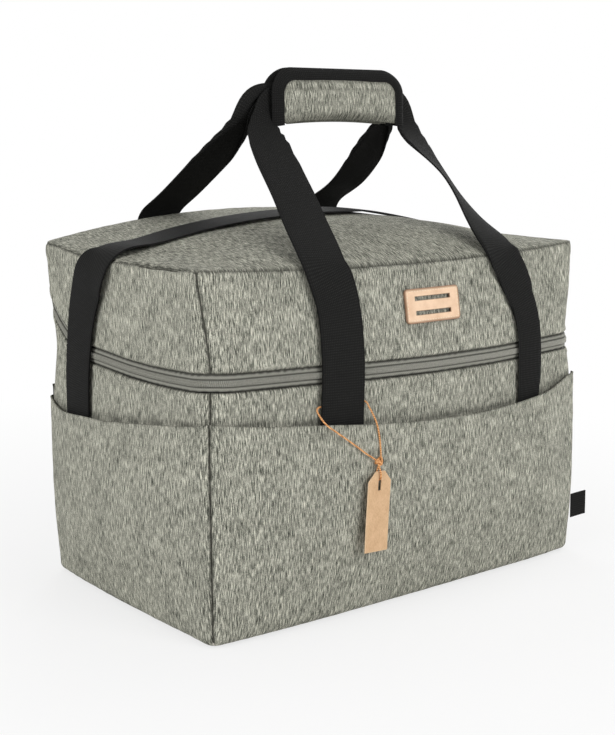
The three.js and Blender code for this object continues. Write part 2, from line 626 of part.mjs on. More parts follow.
// A station of the strap on the crown of the lid.
function strapOnLid(x) {
  const rise = x < 0 ? 1 - taper((2 * x) / LID_TOP_LENGTH) : smoothstep(x, 0, STRAP_TURN_X);
  const y = lerp(STRAP_TOP_Y, x < 0 ? STRAP_LEFT_EDGE_Y : STRAP_RIGHT_EDGE_Y, rise);
  const height = (place) => lidHeight((2 * x) / (LID_TOP_LENGTH + 2 * SIDE_LID_BOW), (2 * place) / LID_TOP_DEPTH);
  const slope = height(y + 1) - height(y);
  return { at: vec(x, y, height(y) + STRAP_CLEARANCE + WEBBING_THICKNESS / 2), across: vec(0, 1, slope) };
}

// The turn of the strap over the edge of the lid.
function strapTurn(wall) {
  const sign = wall === "left" ? -1 : 1;
  const y = STRAP_SIDES[wall];
  const rim = lidHeight(1, (2 * y) / LID_TOP_DEPTH);
  const edge = sideReach(y, rim);
  const off = STRAP_CLEARANCE + WEBBING_THICKNESS;
  const across = vec(0, 1, 0);
  return [
    { at: vec(sign * (edge + off), y, rim - off), across },
    { at: vec(sign * (edge + 0.6 * off), y, rim + off), across },
    { at: vec(sign * (edge - 2 * off), y, rim + 2.2 * off), across },
  ];
}

function strapOver() {
  const climb = [GAP / (STRAP_LEAN_END - STRAP_SPLIT_HEIGHT), STRAP_LEFT_RISE, 0.4, 0.7, 1].map((t) =>
    lerp(STRAP_SPLIT_HEIGHT, STRAP_LEAN_END, t),
  );
  const left = [...climb.map((z) => strapOnSide("left", z)), ...strapTurn("left")];
  const right = [...climb.map((z) => strapOnSide("right", z)), ...strapTurn("right")].reverse();
  const reach = LID_TOP_LENGTH / 2 - WEBBING_WIDTH / 2;
  const crown = steps(-reach, reach, 8).map(strapOnLid);
  add("shoulder_strap_over_lid", ribbon([...left, ...crown, ...right]), webbing);
}

// The slide adjuster is a flat ring round the strap, on its straight stretch on the right.
function adjuster() {
  const strap = strapOnSide("right", STRAP_SPLIT_HEIGHT + ADJUSTER_RISE);
  const above = strapOnSide("right", STRAP_LEAN_END).at;
  const up = above.sub(strapOnSide("right", STRAP_SPLIT_HEIGHT).at).normalize();
  const outward = strap.across.clone().cross(up).negate().normalize();
  const bore = WEBBING_THICKNESS + 2 * ADJUSTER_CLEARANCE;
  const length = WEBBING_WIDTH + 2 * ADJUSTER_CLEARANCE;
  const outer = new THREE.BoxGeometry(length + 2 * ADJUSTER_RIM, bore + 2 * ADJUSTER_WALL, ADJUSTER_HEIGHT);
  const ring = cut(outer, new THREE.BoxGeometry(length, bore, 2 * ADJUSTER_HEIGHT));
  const mesh = add("strap_adjuster", ring, metal);
  mesh.quaternion.setFromRotationMatrix(new THREE.Matrix4().makeBasis(up.clone().cross(outward).negate(), outward, up));
  mesh.position.copy(strap.at);
}

// A rounded plate in the XZ plane, from a front face to a back face along Y.
function arch(x, halfWidth, foot, top, radius) {
  const shape = new THREE.Shape();
  shape.moveTo(x - halfWidth, foot);
  shape.lineTo(x + halfWidth, foot);
  shape.lineTo(x + halfWidth, top - radius);
  shape.absarc(x + halfWidth - radius, top - radius, radius, 0, Math.PI / 2);
  shape.lineTo(x - halfWidth + radius, top);
  shape.absarc(x - halfWidth + radius, top - radius, radius, Math.PI / 2, Math.PI);
  return shape;
}
function plate(shape, front, back, curveSegments = 5) {
  const geometry = new THREE.ExtrudeGeometry(shape, { depth: back - front, bevelEnabled: false, curveSegments });
  return geometry.rotateX(Math.PI / 2).translate(0, back, 0);
}

// The padded wrap: a pad behind the two handles, a sole under them, and a bound flap in front.
function grip() {
  const half = GRIP_LENGTH / 2;
  const hug = (HANDLE_RUN_SPACING + WEBBING_THICKNESS) / 2 + HANDLE_HUG;
  const flapBack = -hug - HOOK_STRIP_THICKNESS - GAP;
  const outline = arch(GRIP_CENTRE_X, half, GRIP_FOOT, GRIP_TOP, GRIP_CORNER_RADIUS);
  const soleHalf = HANDLE_FOLD_X - HANDLE_FOLD_WIDTH / 2 - HANDLE_BACK_SHIFT - GRIP_SOLE;
  const sole = arch(GRIP_CENTRE_X, soleHalf, GRIP_FOOT, GRIP_FOOT + GRIP_SOLE, GRIP_SOLE / 3);
  const pad = solidOf(plate(outline, hug, hug + GRIP_PAD));
  add("grip_wrap", geometryOf(pad.add(solidOf(plate(sole, flapBack + GAP, hug + GRIP_SOLE)))), melange);

  const window = (margin, foot) =>
    arch(GRIP_CENTRE_X, half - margin, foot, GRIP_TOP - margin, GRIP_CORNER_RADIUS - margin);
  const flapFront = flapBack - GRIP_PAD;
  const panel = window(GRIP_BINDING + GAP, GRIP_FOOT);
  add("grip_flap", plate(panel, flapFront, flapBack), melange);
  const opening = plate(window(GRIP_BINDING, GRIP_FOOT - GRIP_BINDING), flapFront - 1, flapBack + 1);
  add("grip_binding", cut(plate(outline, flapFront, flapBack), opening), webbing);
  const strip = arch(
    GRIP_CENTRE_X,
    HOOK_STRIP_LENGTH / 2,
    HANDLE_RUN_Z - HOOK_STRIP_HEIGHT / 2,
    HANDLE_RUN_Z + HOOK_STRIP_HEIGHT / 2,
    HOOK_STRIP_THICKNESS,
  );
  add("grip_hook_strip", plate(strip, -hug - HOOK_STRIP_THICKNESS, -hug), webbing);
}

// The leather lash tab on the front of the lid, with two slots that show the cloth.
function roundedBox(halfWidth, halfHeight, radius, x = 0, y = 0) {
  const shape = new THREE.Shape();
  shape.absarc(x + halfWidth - radius, y + halfHeight - radius, radius, 0, Math.PI / 2);
  shape.absarc(x - halfWidth + radius, y + halfHeight - radius, radius, Math.PI / 2, Math.PI);
  shape.absarc(x - halfWidth + radius, y - halfHeight + radius, radius, Math.PI, 1.5 * Math.PI);
  shape.absarc(x + halfWidth - radius, y - halfHeight + radius, radius, 1.5 * Math.PI, 2 * Math.PI);
  return shape;
}
function lashTab() {
  const shape = roundedBox(TAB_LENGTH / 2, TAB_HEIGHT / 2, TAB_CORNER_RADIUS);
  for (const side of [-1, 1]) {
    const z = (side * TAB_SLOT_SPACING) / 2;
    shape.holes.push(roundedBox(TAB_SLOT_LENGTH / 2, TAB_SLOT_HEIGHT / 2, TAB_SLOT_HEIGHT / 2.1, 0, z));
  }
  const mesh = add("lash_tab", plate(shape, -TAB_THICKNESS, 0, 3), leather);
  const reach = (z) => frontReach(Math.max(0, TAB_X - TAB_LENGTH / 2), z);
  mesh.rotation.x = Math.atan2(reach(TAB_Z + 1) - reach(TAB_Z - 1), 2);
  mesh.position.set(TAB_X, -reach(TAB_Z) - GAP, TAB_Z);
}

function sideLabel() {
  const label = new THREE.BoxGeometry(LABEL_LENGTH, LABEL_THICKNESS, LABEL_HEIGHT);
  const mesh = add("side_label", label, webbing);
  const x = halfLength(LABEL_Z + LABEL_HEIGHT / 2) + GAP + LABEL_LENGTH / 2;
  mesh.position.set(x, -halfDepth(LABEL_Z) - (POCKET_CLOTH + GAP) / 2, LABEL_Z);
}

// Two sliders meet on the right side, each with a pull tab that hangs from it.
const SLIDER_FACE = halfLength(ZIP_HEIGHT) + SIDE_ZIP_BOW + COIL_PROUD + GAP;
function slider(name, y) {
  const shape = roundedBox(SLIDER_LENGTH / 2, SLIDER_HEIGHT / 2, SLIDER_CORNER_RADIUS);
  const body = add("zip_slider_" + name, plate(shape, 0, SLIDER_THICKNESS, 2).rotateZ(-Math.PI / 2), metal);
  body.position.set(SLIDER_FACE, y, ZIP_HEIGHT);
  const outline = roundedBox(PULL_WIDTH / 2, PULL_LENGTH / 2, PULL_WIDTH / 3);
  const pull = add("pull_tab_" + name, plate(outline, 0, PULL_THICKNESS, 2).rotateZ(-Math.PI / 2), metal);
  const hingeX = SLIDER_FACE + SLIDER_THICKNESS + PULL_CLEARANCE;
  pull.position.set(hingeX, y, ZIP_HEIGHT - PULL_LENGTH / 2 + PULL_THICKNESS / 2);
}

// The swing tag hangs on a loop of twine that goes behind the front handle and through a knot.
const TWINE_ROUTE = [
  [-97, -157.5, 197],
  [-110, -157.5, 197.2],
  [-120, -157.6, 197.2],
  [-123.4, -160.3, 195.5],
  [-123, -164.3, 190.5],
  [-119, -167, 184],
  [-108, -168.6, 175.5],
  [-92, -169, 164],
  [-77, -170.2, 152.5],
  [-67, -172.2, 144.6],
  [-64.6, -173.9, 137],
  [-63.6, -174.1, 130.5],
  [-63.5, -171, 127],
  [-63.5, -167.9, 130.5],
  [-62.8, -168.6, 137],
  [-61.2, -170.6, 143.8],
  [-60.4, -170, 151],
  [-60.5, -168.7, 163],
  [-63, -168.4, 176],
  [-66, -166.8, 185],
  [-67.8, -163, 192],
  [-68.2, -159.8, 196],
  [-70.4, -157.7, 197.1],
  [-77, -157.4, 197.1],
  [-90, -157.5, 197],
];
function swingTag() {
  const path = new THREE.CatmullRomCurve3(TWINE_ROUTE.map((p) => vec(...p)), false, "centripetal");
  const rope = (radius) => {
    const section = new THREE.Shape().absarc(0, 0, radius, 0, 2 * Math.PI);
    const count = Math.round(path.getLength() / TWINE_STEP);
    return new THREE.ExtrudeGeometry(section, { steps: count, extrudePath: path, curveSegments: 4 });
  };
  add("tag_twine", rope(TWINE_DIAMETER / 2), twine);
  const ball = new THREE.SphereGeometry(KNOT_RADIUS, 12, 8).translate(...KNOT_PLACE);
  add("tag_knot", cut(ball, rope(TWINE_DIAMETER / 2 + GAP)), twine);

  const half = TAG_WIDTH / 2;
  const outline = new THREE.Shape();
  outline.moveTo(-half, -TAG_HEIGHT);
  outline.lineTo(half, -TAG_HEIGHT);
  outline.lineTo(half, -TAG_CORNER_CUT);
  outline.lineTo(half - TAG_CORNER_CUT, 0);
  outline.lineTo(TAG_CORNER_CUT - half, 0);
  outline.lineTo(-half, -TAG_CORNER_CUT);
  const slotMiddle = -TAG_SLOT_DROP - TAG_SLOT_HEIGHT / 2;
  outline.holes.push(roundedBox(TAG_SLOT_WIDTH / 2, TAG_SLOT_HEIGHT / 2, TAG_SLOT_WIDTH / 2.1, 0, slotMiddle));
  const mesh = add("swing_tag", plate(outline, -TAG_THICKNESS / 2, TAG_THICKNESS / 2, 2), card);
  mesh.position.set(TAG_X, TAG_Y, TAG_TOP);
}

bodyWalls();
base();
lid();
zip();
hingeFold();
WALL_NAMES.forEach(pocket);
handles();
grip();
Object.keys(STRAP_SIDES).forEach(strapEnd);
strapOver();
adjuster();
lashTab();
sideLabel();
slider("front", SLIDER_MEETING_Y);
slider("back", SLIDER_MEETING_Y + SLIDER_LENGTH + GAP);
swingTag();

export default bag;
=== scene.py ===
# %% [markdown]
# # A soft cooler bag
# The real bag is a soft box: grey melange cloth outside, foam in every wall, foil inside, and a zip that
# runs round three sides below a padded lid. Two carry handles meet in a padded wrap, and a shoulder
# strap climbs one side, crosses the lid and runs down the other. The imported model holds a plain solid
# for each part, and every piece here is laid over its solid. Shapes are worked out in millimetres, as a
# maker would, and become metres in the mesh.

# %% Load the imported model
import math

import bmesh
import bpy
import numpy as np
from mathutils import Matrix
from mathutils import Vector


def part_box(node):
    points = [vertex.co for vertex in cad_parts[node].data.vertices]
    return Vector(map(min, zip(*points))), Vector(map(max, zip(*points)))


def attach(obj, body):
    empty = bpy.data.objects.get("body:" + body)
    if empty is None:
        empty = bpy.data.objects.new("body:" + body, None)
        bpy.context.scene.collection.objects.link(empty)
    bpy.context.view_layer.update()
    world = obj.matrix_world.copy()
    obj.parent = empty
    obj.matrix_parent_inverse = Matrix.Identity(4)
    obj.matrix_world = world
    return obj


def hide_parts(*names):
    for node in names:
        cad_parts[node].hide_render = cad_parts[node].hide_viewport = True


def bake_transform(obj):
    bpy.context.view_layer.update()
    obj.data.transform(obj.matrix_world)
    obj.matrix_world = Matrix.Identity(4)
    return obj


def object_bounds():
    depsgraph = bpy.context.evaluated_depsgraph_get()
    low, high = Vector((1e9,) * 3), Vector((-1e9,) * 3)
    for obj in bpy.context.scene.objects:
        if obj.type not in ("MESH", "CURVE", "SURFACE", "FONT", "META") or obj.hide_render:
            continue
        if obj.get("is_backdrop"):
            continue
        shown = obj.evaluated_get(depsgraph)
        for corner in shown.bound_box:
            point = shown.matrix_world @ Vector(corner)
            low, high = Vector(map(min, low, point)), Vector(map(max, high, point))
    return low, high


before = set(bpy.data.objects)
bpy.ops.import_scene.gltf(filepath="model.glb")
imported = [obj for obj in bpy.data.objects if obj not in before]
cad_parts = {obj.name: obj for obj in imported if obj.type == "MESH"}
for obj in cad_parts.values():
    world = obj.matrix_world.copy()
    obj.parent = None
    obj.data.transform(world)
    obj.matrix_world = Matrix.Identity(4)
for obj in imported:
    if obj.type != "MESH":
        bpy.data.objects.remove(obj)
cad_low, cad_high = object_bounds()
scene = bpy.context.scene
scene.view_settings.view_transform = "Standard"

# %% [markdown]
# ## The camera
# The bag was seen a little from its left and a little from above, through a long lens. A camera is a
# matrix of four columns: right, up, back and place. Working them out from three angles is surer than
# turning the object by hand, and the same numbers can be fitted again for another picture.

# %% Aim the camera
AZIMUTH = math.radians(-37.285)
ELEVATION = math.radians(9.733)
ROLL = math.radians(-0.664)
DISTANCE = 1.2994
LENS = 63.69
TARGET = np.array([-0.011, 0.0, 0.1995])


def aim_camera():
    level = math.cos(ELEVATION)
    back = np.array([math.sin(AZIMUTH) * level, -math.cos(AZIMUTH) * level, math.sin(ELEVATION)])
    right = np.cross(-back, [0, 0, 1])
    right /= np.linalg.norm(right)
    up = np.cross(right, -back)
    data = bpy.data.cameras.new("camera")
    data.lens = LENS
    data.sensor_width = 36
    data.clip_start = 0.05
    camera = bpy.data.objects.new("camera", data)
    scene.collection.objects.link(camera)
    matrix = np.eye(4)
    matrix[:3, 0] = math.cos(ROLL) * right + math.sin(ROLL) * up
    matrix[:3, 1] = math.cos(ROLL) * up - math.sin(ROLL) * right
    matrix[:3, 2] = back
    matrix[:3, 3] = TARGET + back * DISTANCE
    camera.matrix_world = Matrix(matrix.tolist())
    scene.camera = camera
    return camera


print("camera at", [round(v, 3) for v in aim_camera().matrix_world.translation])

# %% [markdown]
# ## Node trees that read like sums
# A material is a tree of nodes. Adding each node by hand hides the idea, so a socket is wrapped in a
# small class whose +, - and * add the Math nodes. Every other node comes from one method, which takes
# the node's type, then its settings, then what its sockets receive. Colours go through Mix, since a
# Math node would turn them grey.

# %% A socket that Python can do sums with
class Wire:
    """One output of a node."""

    def __init__(self, tree, socket):
        self.tree = tree
        self.socket = socket

    def maths(self, operation, a, b):
        return self.tree.node("ShaderNodeMath", {"operation": operation}, {0: a, 1: b})

    def __add__(self, other):
        return self.maths("ADD", self, other)

    def __sub__(self, other):
        return self.maths("SUBTRACT", self, other)

    def __rsub__(self, other):
        return self.maths("SUBTRACT", other, self)

    def __mul__(self, other):
        return self.maths("MULTIPLY", self, other)

    def larger(self, other):
        return self.maths("MAXIMUM", self, other)

    __radd__ = __add__
    __rmul__ = __mul__


# %% A tree with one method that adds any node
class Nodes:
    """A node tree."""

    def __init__(self, tree):
        self.tree = tree

    def feed(self, socket, value):
        if isinstance(value, Wire):
            self.tree.links.new(value.socket, socket)
        elif socket.type == "RGBA" and len(value) == 3:
            socket.default_value = (*value, 1)
        else:
            socket.default_value = value

    def node(self, kind, settings=None, sockets=None, output=0):
        made = self.tree.nodes.new(kind)
        for name, value in (settings or {}).items():
            if name == "stops":
                self.set_stops(made.color_ramp.elements, value)
            else:
                setattr(made, name, value)
        for name, value in (sockets or {}).items():
            self.feed(made.inputs[name], value)
        return Wire(self, made.outputs[output]) if len(made.outputs) else made

    def set_stops(self, elements, stops):
        while len(elements) < len(stops):
            elements.new(0.5)
        for element, (place, color) in zip(elements, stops):
            element.position = place
            element.color = (*color, 1)


# %% A finish: one Principled surface and what feeds it
class Finish(Nodes):
    """A material whose constants are set on its surface, and whose patterns are wired in."""

    def __init__(self, name, roughness=0.8, metallic=0.0, specular=0.3):
        self.material = bpy.data.materials.new(name)
        self.material.use_nodes = True
        super().__init__(self.material.node_tree)
        self.surface = self.tree.nodes["Principled BSDF"]
        self.surface.inputs["Roughness"].default_value = roughness
        self.surface.inputs["Metallic"].default_value = metallic
        self.surface.inputs["Specular IOR Level"].default_value = specular

    def scaled(self, place, stretch):
        return self.node("ShaderNodeVectorMath", {"operation": "MULTIPLY"}, {0: place, 1: stretch})

    def on_cloth(self, stretch=(1, 1, 1)):
        return self.scaled(self.node("ShaderNodeUVMap", {"uv_map": "weave"}), stretch)

    def on_object(self, stretch=(1, 1, 1)):
        return self.scaled(self.node("ShaderNodeTexCoord", output=3), stretch)

    def painted_shade_and_edge_tone(self):
        """A number stored on each vertex: painted shade in the seams, folds and gaps of cloth, zip tape and
        pads, darker edges on webbing, and the tone of the cut edges of leather and card.
        """
        return self.node("ShaderNodeAttribute", {"attribute_name": "shade"}, output=2)

    def noise(self, place, scale, detail=3.0, roughness=0.55, bend=0.0):
        return self.node("ShaderNodeTexNoise", None, {
            "Vector": place,
            "Scale": scale,
            "Detail": detail,
            "Roughness": roughness,
            "Distortion": bend,
        })

    def ribs(self, place, scale, direction, wobble=0.3):
        sockets = {"Vector": place, "Scale": scale, "Distortion": wobble}
        return self.node("ShaderNodeTexWave", {"bands_direction": direction}, sockets, 1)

    def ramp(self, value, stops):
        return self.node("ShaderNodeValToRGB", {"stops": stops}, {"Fac": value})

    def mix(self, share, a, b, how="MIX"):
        return self.node("ShaderNodeMix", {"data_type": "RGBA", "blend_type": how}, {0: share, 6: a, 7: b}, 2)

    def show(self, color, height=None, depth=0.0004, strength=0.4, roughness=None):
        self.feed(self.surface.inputs["Base Color"], color)
        if height is not None:
            sockets = {"Height": height, "Strength": strength, "Distance": depth}
            self.feed(self.surface.inputs["Normal"], self.node("ShaderNodeBump", None, sockets))
        if roughness is not None:
            self.feed(self.surface.inputs["Roughness"], roughness)
        print(self.material.name, "is a finish of", len(self.tree.nodes), "nodes")
        return self.material


def srgb(red, green, blue):
    """The linear colour that shows as these three screen levels of 0 to 255."""
    levels = [v / 255 for v in (red, green, blue)]
    return tuple(v / 12.92 if v < 0.04045 else ((v + 0.055) / 1.055) ** 2.4 for v in levels)


print("a mid grey is", round(srgb(150, 150, 150)[0], 3), "in linear light")

# %% [markdown]
# ## Twine
# The swing tag hangs on a waxed twine of two plies, 1.5 mm thick. It is one limp loop: behind the front
# handle, down to a knot, through the slot of the card and back. A curve with a round bevel is the
# honest model of a cord, because its length can be measured. Its points repeat the CAD's route.

# %% The twine's finish and its route
def twine_finish():
    f = Finish("twine", roughness=0.8)
    plies = f.ribs(f.on_object(), 330, "DIAGONAL", 2.0)
    color = f.mix(plies, srgb(176, 110, 60), srgb(240, 184, 126))
    return f.show(color, plies, 0.0004, 0.6)


twine = twine_finish()
TWINE_ROUTE = [
    (-97, -157.5, 197), (-110, -157.5, 197.2), (-120, -157.6, 197.2), (-123.4, -160.3, 195.5),
    (-123, -164.3, 190.5), (-119, -167, 184), (-108, -168.6, 175.5), (-92, -169, 164),
    (-77, -170.2, 152.5), (-67, -172.2, 144.6), (-64.6, -173.9, 137), (-63.6, -174.1, 130.5),
    (-63.5, -171, 127), (-63.5, -167.9, 130.5), (-62.8, -168.6, 137), (-61.2, -170.6, 143.8),
    (-60.4, -170, 151), (-60.5, -168.7, 163), (-63, -168.4, 176), (-66, -166.8, 185),
    (-67.8, -163, 192), (-68.2, -159.8, 196), (-70.4, -157.7, 197.1), (-77, -157.4, 197.1),
    (-90, -157.5, 197),
]
TWINE_DIAMETER = 0.0015
print("the twine passes", len(TWINE_ROUTE), "places")


# %% Draw a smooth line through points
def smooth_line(points, step):
    """A centripetal Catmull-Rom line through points, with about that spacing."""
    p = np.asarray(points, float)
    p = np.concatenate([[2 * p[0] - p[1]], p, [2 * p[-1] - p[-2]]])
    line = []
    for a, b, c, d in zip(p, p[1:], p[2:], p[3:]):
        before, between, after = (max(np.linalg.norm(q) ** 0.5, 1e-4) for q in (b - a, c - b, d - c))
        start = ((b - a) / before - (c - a) / (before + between) + (c - b) / between) * between
        end = ((c - b) / between - (d - b) / (between + after) + (d - c) / after) * between
        for s in np.linspace(0, 1, max(2, int(np.linalg.norm(c - b) / step)), endpoint=False):
            bend = (3 * (c - b) - 2 * start - end) * s**2 + (2 * (b - c) + start + end) * s**3
            line.append(b + start * s + bend)
    line.append(p[-2])
    return np.array(line)


def along(line):
    """How far each point of a line lies from its start."""
    return np.concatenate([[0], np.cumsum(np.linalg.norm(np.diff(line, axis=0), axis=1))])


def read_off(where, run, points):
    """The points of a line at some distances, where run says how far along it each of its points lies."""
    return np.stack([np.interp(where, run, column) for column in points.T], -1)


twine_line = smooth_line(TWINE_ROUTE, 1.6)


# %% Make the cord
def round_curve(name, lines, diameter, closed=False):
    """A curve with a round section along each of some lines. The diameter is in metres."""
    data = bpy.data.curves.new(name, "CURVE")
    data.dimensions = "3D"
    data.bevel_depth = diameter / 2
    data.bevel_resolution = 3
    data.use_fill_caps = not closed
    for line in lines:
        spline = data.splines.new("POLY")
        spline.points.add(len(line) - 1)
        spline.use_cyclic_u = closed
        for point, place in zip(spline.points, line / 1000):
            point.co = (*place, 1)
    piece = bpy.data.objects.new(name, data)
    scene.collection.objects.link(piece)
    return piece


def make_twine():
    piece = round_curve("twine_loop", [twine_line], TWINE_DIAMETER)
    piece.data.materials.append(twine)
    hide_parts("tag_twine")
    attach(piece, "tag")
    return piece


twine_piece = make_twine()
print("its curve has", len(twine_line), "points")

# %% [markdown]
# ## One way to make every sheet
# Cloth, tape, foil and webbing are all sheets. Each starts as a flat grid from `create_grid`, whose
# vertices are then moved to a table of places. Two things are stored on it: a UV map named "weave", in
# metres of cloth, so that the weave follows the cloth and not the room, and a number on each vertex
# named "shade", which paints shade into seams, folds and gaps, and on some pieces gives their edges' tone.

# %% A grid that is moved to a table of places
def link_mesh(name, work, sharp=45):
    mesh = bpy.data.meshes.new(name)
    work.to_mesh(mesh)
    work.free()
    mesh.polygons.foreach_set("use_smooth", [True] * len(mesh.polygons))
    mesh.set_sharp_from_angle(angle=math.radians(sharp))
    piece = bpy.data.objects.new(name, mesh)
    scene.collection.objects.link(piece)
    return piece


def table(*numbers):
    """Stacks arrays that fit each other into a table of points."""
    return np.stack(np.broadcast_arrays(*numbers), -1)


def laid_grid(name, places, cloth, shade=0.0, hole=None, closed=False, capped=False, sharp=45):
    """places is a table of points in millimetres. Its first direction crossed with its second points out.

    cloth holds the same points on the flat cloth, in metres, and hole says of such a point, in
    millimetres, whether it lies in a hole.
    """
    columns, rows = places.shape[:2]
    shade = np.broadcast_to(shade, (columns, rows))
    work = bmesh.new()
    bmesh.ops.create_grid(work, x_segments=columns - 1, y_segments=rows - 1, size=1.0)
    darkness = work.verts.layers.float.new("shade")
    weave = work.loops.layers.uv.new("weave")
    spot = []
    for vertex in work.verts:
        i = round((vertex.co.x + 1) / 2 * (columns - 1))
        j = round((vertex.co.y + 1) / 2 * (rows - 1))
        spot.append((i, j))
        vertex.co = Vector(places[i, j] / 1000)
        vertex[darkness] = float(shade[i, j])
    work.verts.index_update()
    for face in work.faces:
        for loop in face.loops:
            loop[weave].uv = cloth[spot[loop.vert.index]]
    if hole:
        middles = [np.mean([cloth[spot[v.index]] for v in face.verts], axis=0) for face in work.faces]
        gone = [face for face, middle in zip(work.faces, middles) if hole(*middle * 1000)]
        bmesh.ops.delete(work, geom=gone, context="FACES")
    if closed:
        bmesh.ops.remove_doubles(work, verts=work.verts, dist=2e-6)
    if capped:
        bmesh.ops.holes_fill(work, edges=[edge for edge in work.edges if edge.is_boundary])
    if closed or capped:
        bmesh.ops.recalc_face_normals(work, faces=work.faces)
    return link_mesh(name, work, sharp)


# %% Thickness, soft edges, and dressing a piece
def thicken(piece, thickness, offset=-1.0):
    """An offset of -1 grows the wall inwards from the sheet, and 0 grows it to both sides."""
    solid = piece.modifiers.new("thickness", "SOLIDIFY")
    solid.thickness = thickness / 1000
    solid.offset = offset
    return piece


def ease_edges(piece, width):
    bevel = piece.modifiers.new("eased edges", "BEVEL")
    bevel.width = width / 1000
    bevel.segments = 2
    bevel.limit_method = "ANGLE"
    bevel.angle_limit = math.radians(50)
    return piece


def dress(piece, finish, slot, body=None, *nodes):
    """Gives a piece its finish, hides the solids that it covers, and puts it on its body."""
    piece.data.materials.clear()
    piece.data.materials.append(finish)
    if nodes:
        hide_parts(*nodes)
    if body:
        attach(piece, body)
    print(piece.name, "is made of", slot)
    return piece


def carry_over(node, finish, slot):
    """A solid whose shape is right already stays, and only gets its finish."""
    return dress(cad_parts[node], finish, slot)


def box_of(node):
    """The lowest and the highest corner of a solid, in millimetres."""
    return [np.array(place) * 1000 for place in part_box(node)]


# %% [markdown]
# ## Uneven cloth
# Real cloth is never even, but it isn't random either: it swells and dips over a hand's width. A few
# sine waves in seeded directions give a smooth field like that, the same on every run.

# %% Fields for swells and gathers
def smooth(x, low, high):
    t = np.clip((x - low) / (high - low), 0, 1)
    return t * t * (3 - 2 * t)


def swells(a, b, seed, size, count=7):
    """About -1 to 1 over two coordinates, with features of about that size."""
    source = np.random.default_rng(seed)
    total = np.zeros(np.broadcast(a, b).shape)
    for _ in range(count):
        turn = source.uniform(0, 2 * math.pi)
        pace = 2 * math.pi / (size * source.uniform(0.7, 1.8))
        total = total + np.sin(pace * (math.cos(turn) * a + math.sin(turn) * b) + source.uniform(0, 6.28))
    return total / (0.6 * count)


def near(distance, width):
    """1 on a line, and less away from it."""
    return np.exp(-((np.asarray(distance, float) / width) ** 2))


def crowded(count, power=0.72):
    """Shares from -1 to 1 that lie closer together at both ends, where the seams are."""
    line = np.linspace(-1, 1, count)
    return np.sign(line) * (1 - (1 - np.abs(line)) ** (1 / power))


sample = swells(*np.mgrid[0:500:9, 0:500:9], seed=1, size=60)
print("a field of swells lies between", round(float(sample.min()), 2), "and", round(float(sample.max()), 2))

# %% [markdown]
# ## The form of the bag
# The walls aren't plates. Each one bows out between its seams, is widest at the belly, pinches in at
# the zip and flares again at the lid. The corners are tight where two pockets meet and open into a
# wide, soft curve at the zip. All layers of a wall share these few functions, so foam and foil keep
# their distance from the cloth everywhere.

# %% How long, how deep and how bowed the bag is at each height
LEVELS = np.array([0.0, 90.0, 230.0, 320.0])
ZIP_Z = 230.0
HINGE_Z = 278.0
RIM_Z = 320.0
WALLS = ("front", "right", "back", "left")
SEEDS = {"front": 3, "right": 11, "back": 23, "left": 37}


def level_curve(values):
    """A smooth curve through one value at each level. It neither dips nor peaks between them."""
    values = np.array(values, float)
    slopes = np.gradient(values, LEVELS)
    slopes[1:-1] = np.where(np.diff(values)[:-1] * np.diff(values)[1:] <= 0, 0, slopes[1:-1])

    def at(z):
        z = np.clip(np.asarray(z, float), 0, RIM_Z)
        k = np.clip(np.searchsorted(LEVELS, z, side="right") - 1, 0, 2)
        span = LEVELS[k + 1] - LEVELS[k]
        s = (z - LEVELS[k]) / span
        a, b, start, end = values[k], values[k + 1], slopes[k] * span, slopes[k + 1] * span
        return a + start * s + (3 * (b - a) - 2 * start - end) * s**2 + (2 * (a - b) + start + end) * s**3

    return at


half_length = level_curve([222, 224, 223, 227])
half_depth = level_curve([140, 144, 144, 135])
front_bow = level_curve([6, 16, 13, 10])
side_bow = level_curve([3, 8, 3, 3])


def back_bow(z):
    z = np.asarray(z, float)
    return np.where(z < 90, 6 + 6 * z / 90, 12 * (1 - np.clip((z - 90) / (HINGE_Z - 90), 0, 1)))


print("the belly is", 2 * float(half_length(90)), "by", 2 * float(half_depth(90)), "mm")

# %% A point of a wall
SEAM_SHARE = 1 - math.sqrt(0.5)
FOOT_HEIGHT = 7.0
FOOT_TUCK = 4.5
CORNER_Z = [0, 16, 40, 150, 165, 190, 230, 250, 275, 300, 320]
CORNER_RADIUS = [15, 10, 9, 9, 10, 17, 29, 25, 17, 11, 9]


def corner(z, out=0.0, tight=False):
    radius = sum(np.interp(np.asarray(z, float) + shift, CORNER_Z, CORNER_RADIUS) for shift in (-7, 0, 7)) / 3
    if tight:
        radius = np.minimum(radius, 10)
    return np.maximum(radius, 3 - out)


def is_side(wall):
    return wall in ("left", "right")


def wall_half(wall, z):
    return half_depth(z) if is_side(wall) else half_length(z)


def wall_run(wall, t, z, out=0.0, tight=False):
    """Where a share of a wall, from seam to seam, lies along it."""
    return t * (wall_half(wall, z) - SEAM_SHARE * corner(z, out, tight))


def wall_point(wall, t, z, out, tight=False):
    """The point of a wall at a share t and a height z, moved outwards. The seams are at -1 and 1."""
    half = wall_half(wall, z)
    other = half_length(z) if is_side(wall) else half_depth(z)
    bow = {"front": front_bow, "back": back_bow}.get(wall, side_bow)(z)
    radius = corner(z, out, tight)
    run = wall_run(wall, t, z, out, tight)
    lean = np.clip(np.abs(run) - (half - radius), 0, radius) / radius
    face = np.sqrt(np.clip(1 - lean**2, 0, 1))
    reach = other + bow * (1 - t * t) - radius * (1 - face) + face * out
    reach = reach - FOOT_TUCK * np.clip(1 - z / FOOT_HEIGHT, 0, 1) ** 2
    run = run + np.sign(run) * lean * out
    if wall == "front":
        return np.stack([run, -reach, z], -1)
    if wall == "back":
        return np.stack([-run, reach, z], -1)
    if wall == "left":
        return np.stack([-reach, -run, z], -1)
    return np.stack([reach, run, z], -1)


print("a corner's radius at the zip is", round(float(corner(ZIP_Z)), 1), "mm")

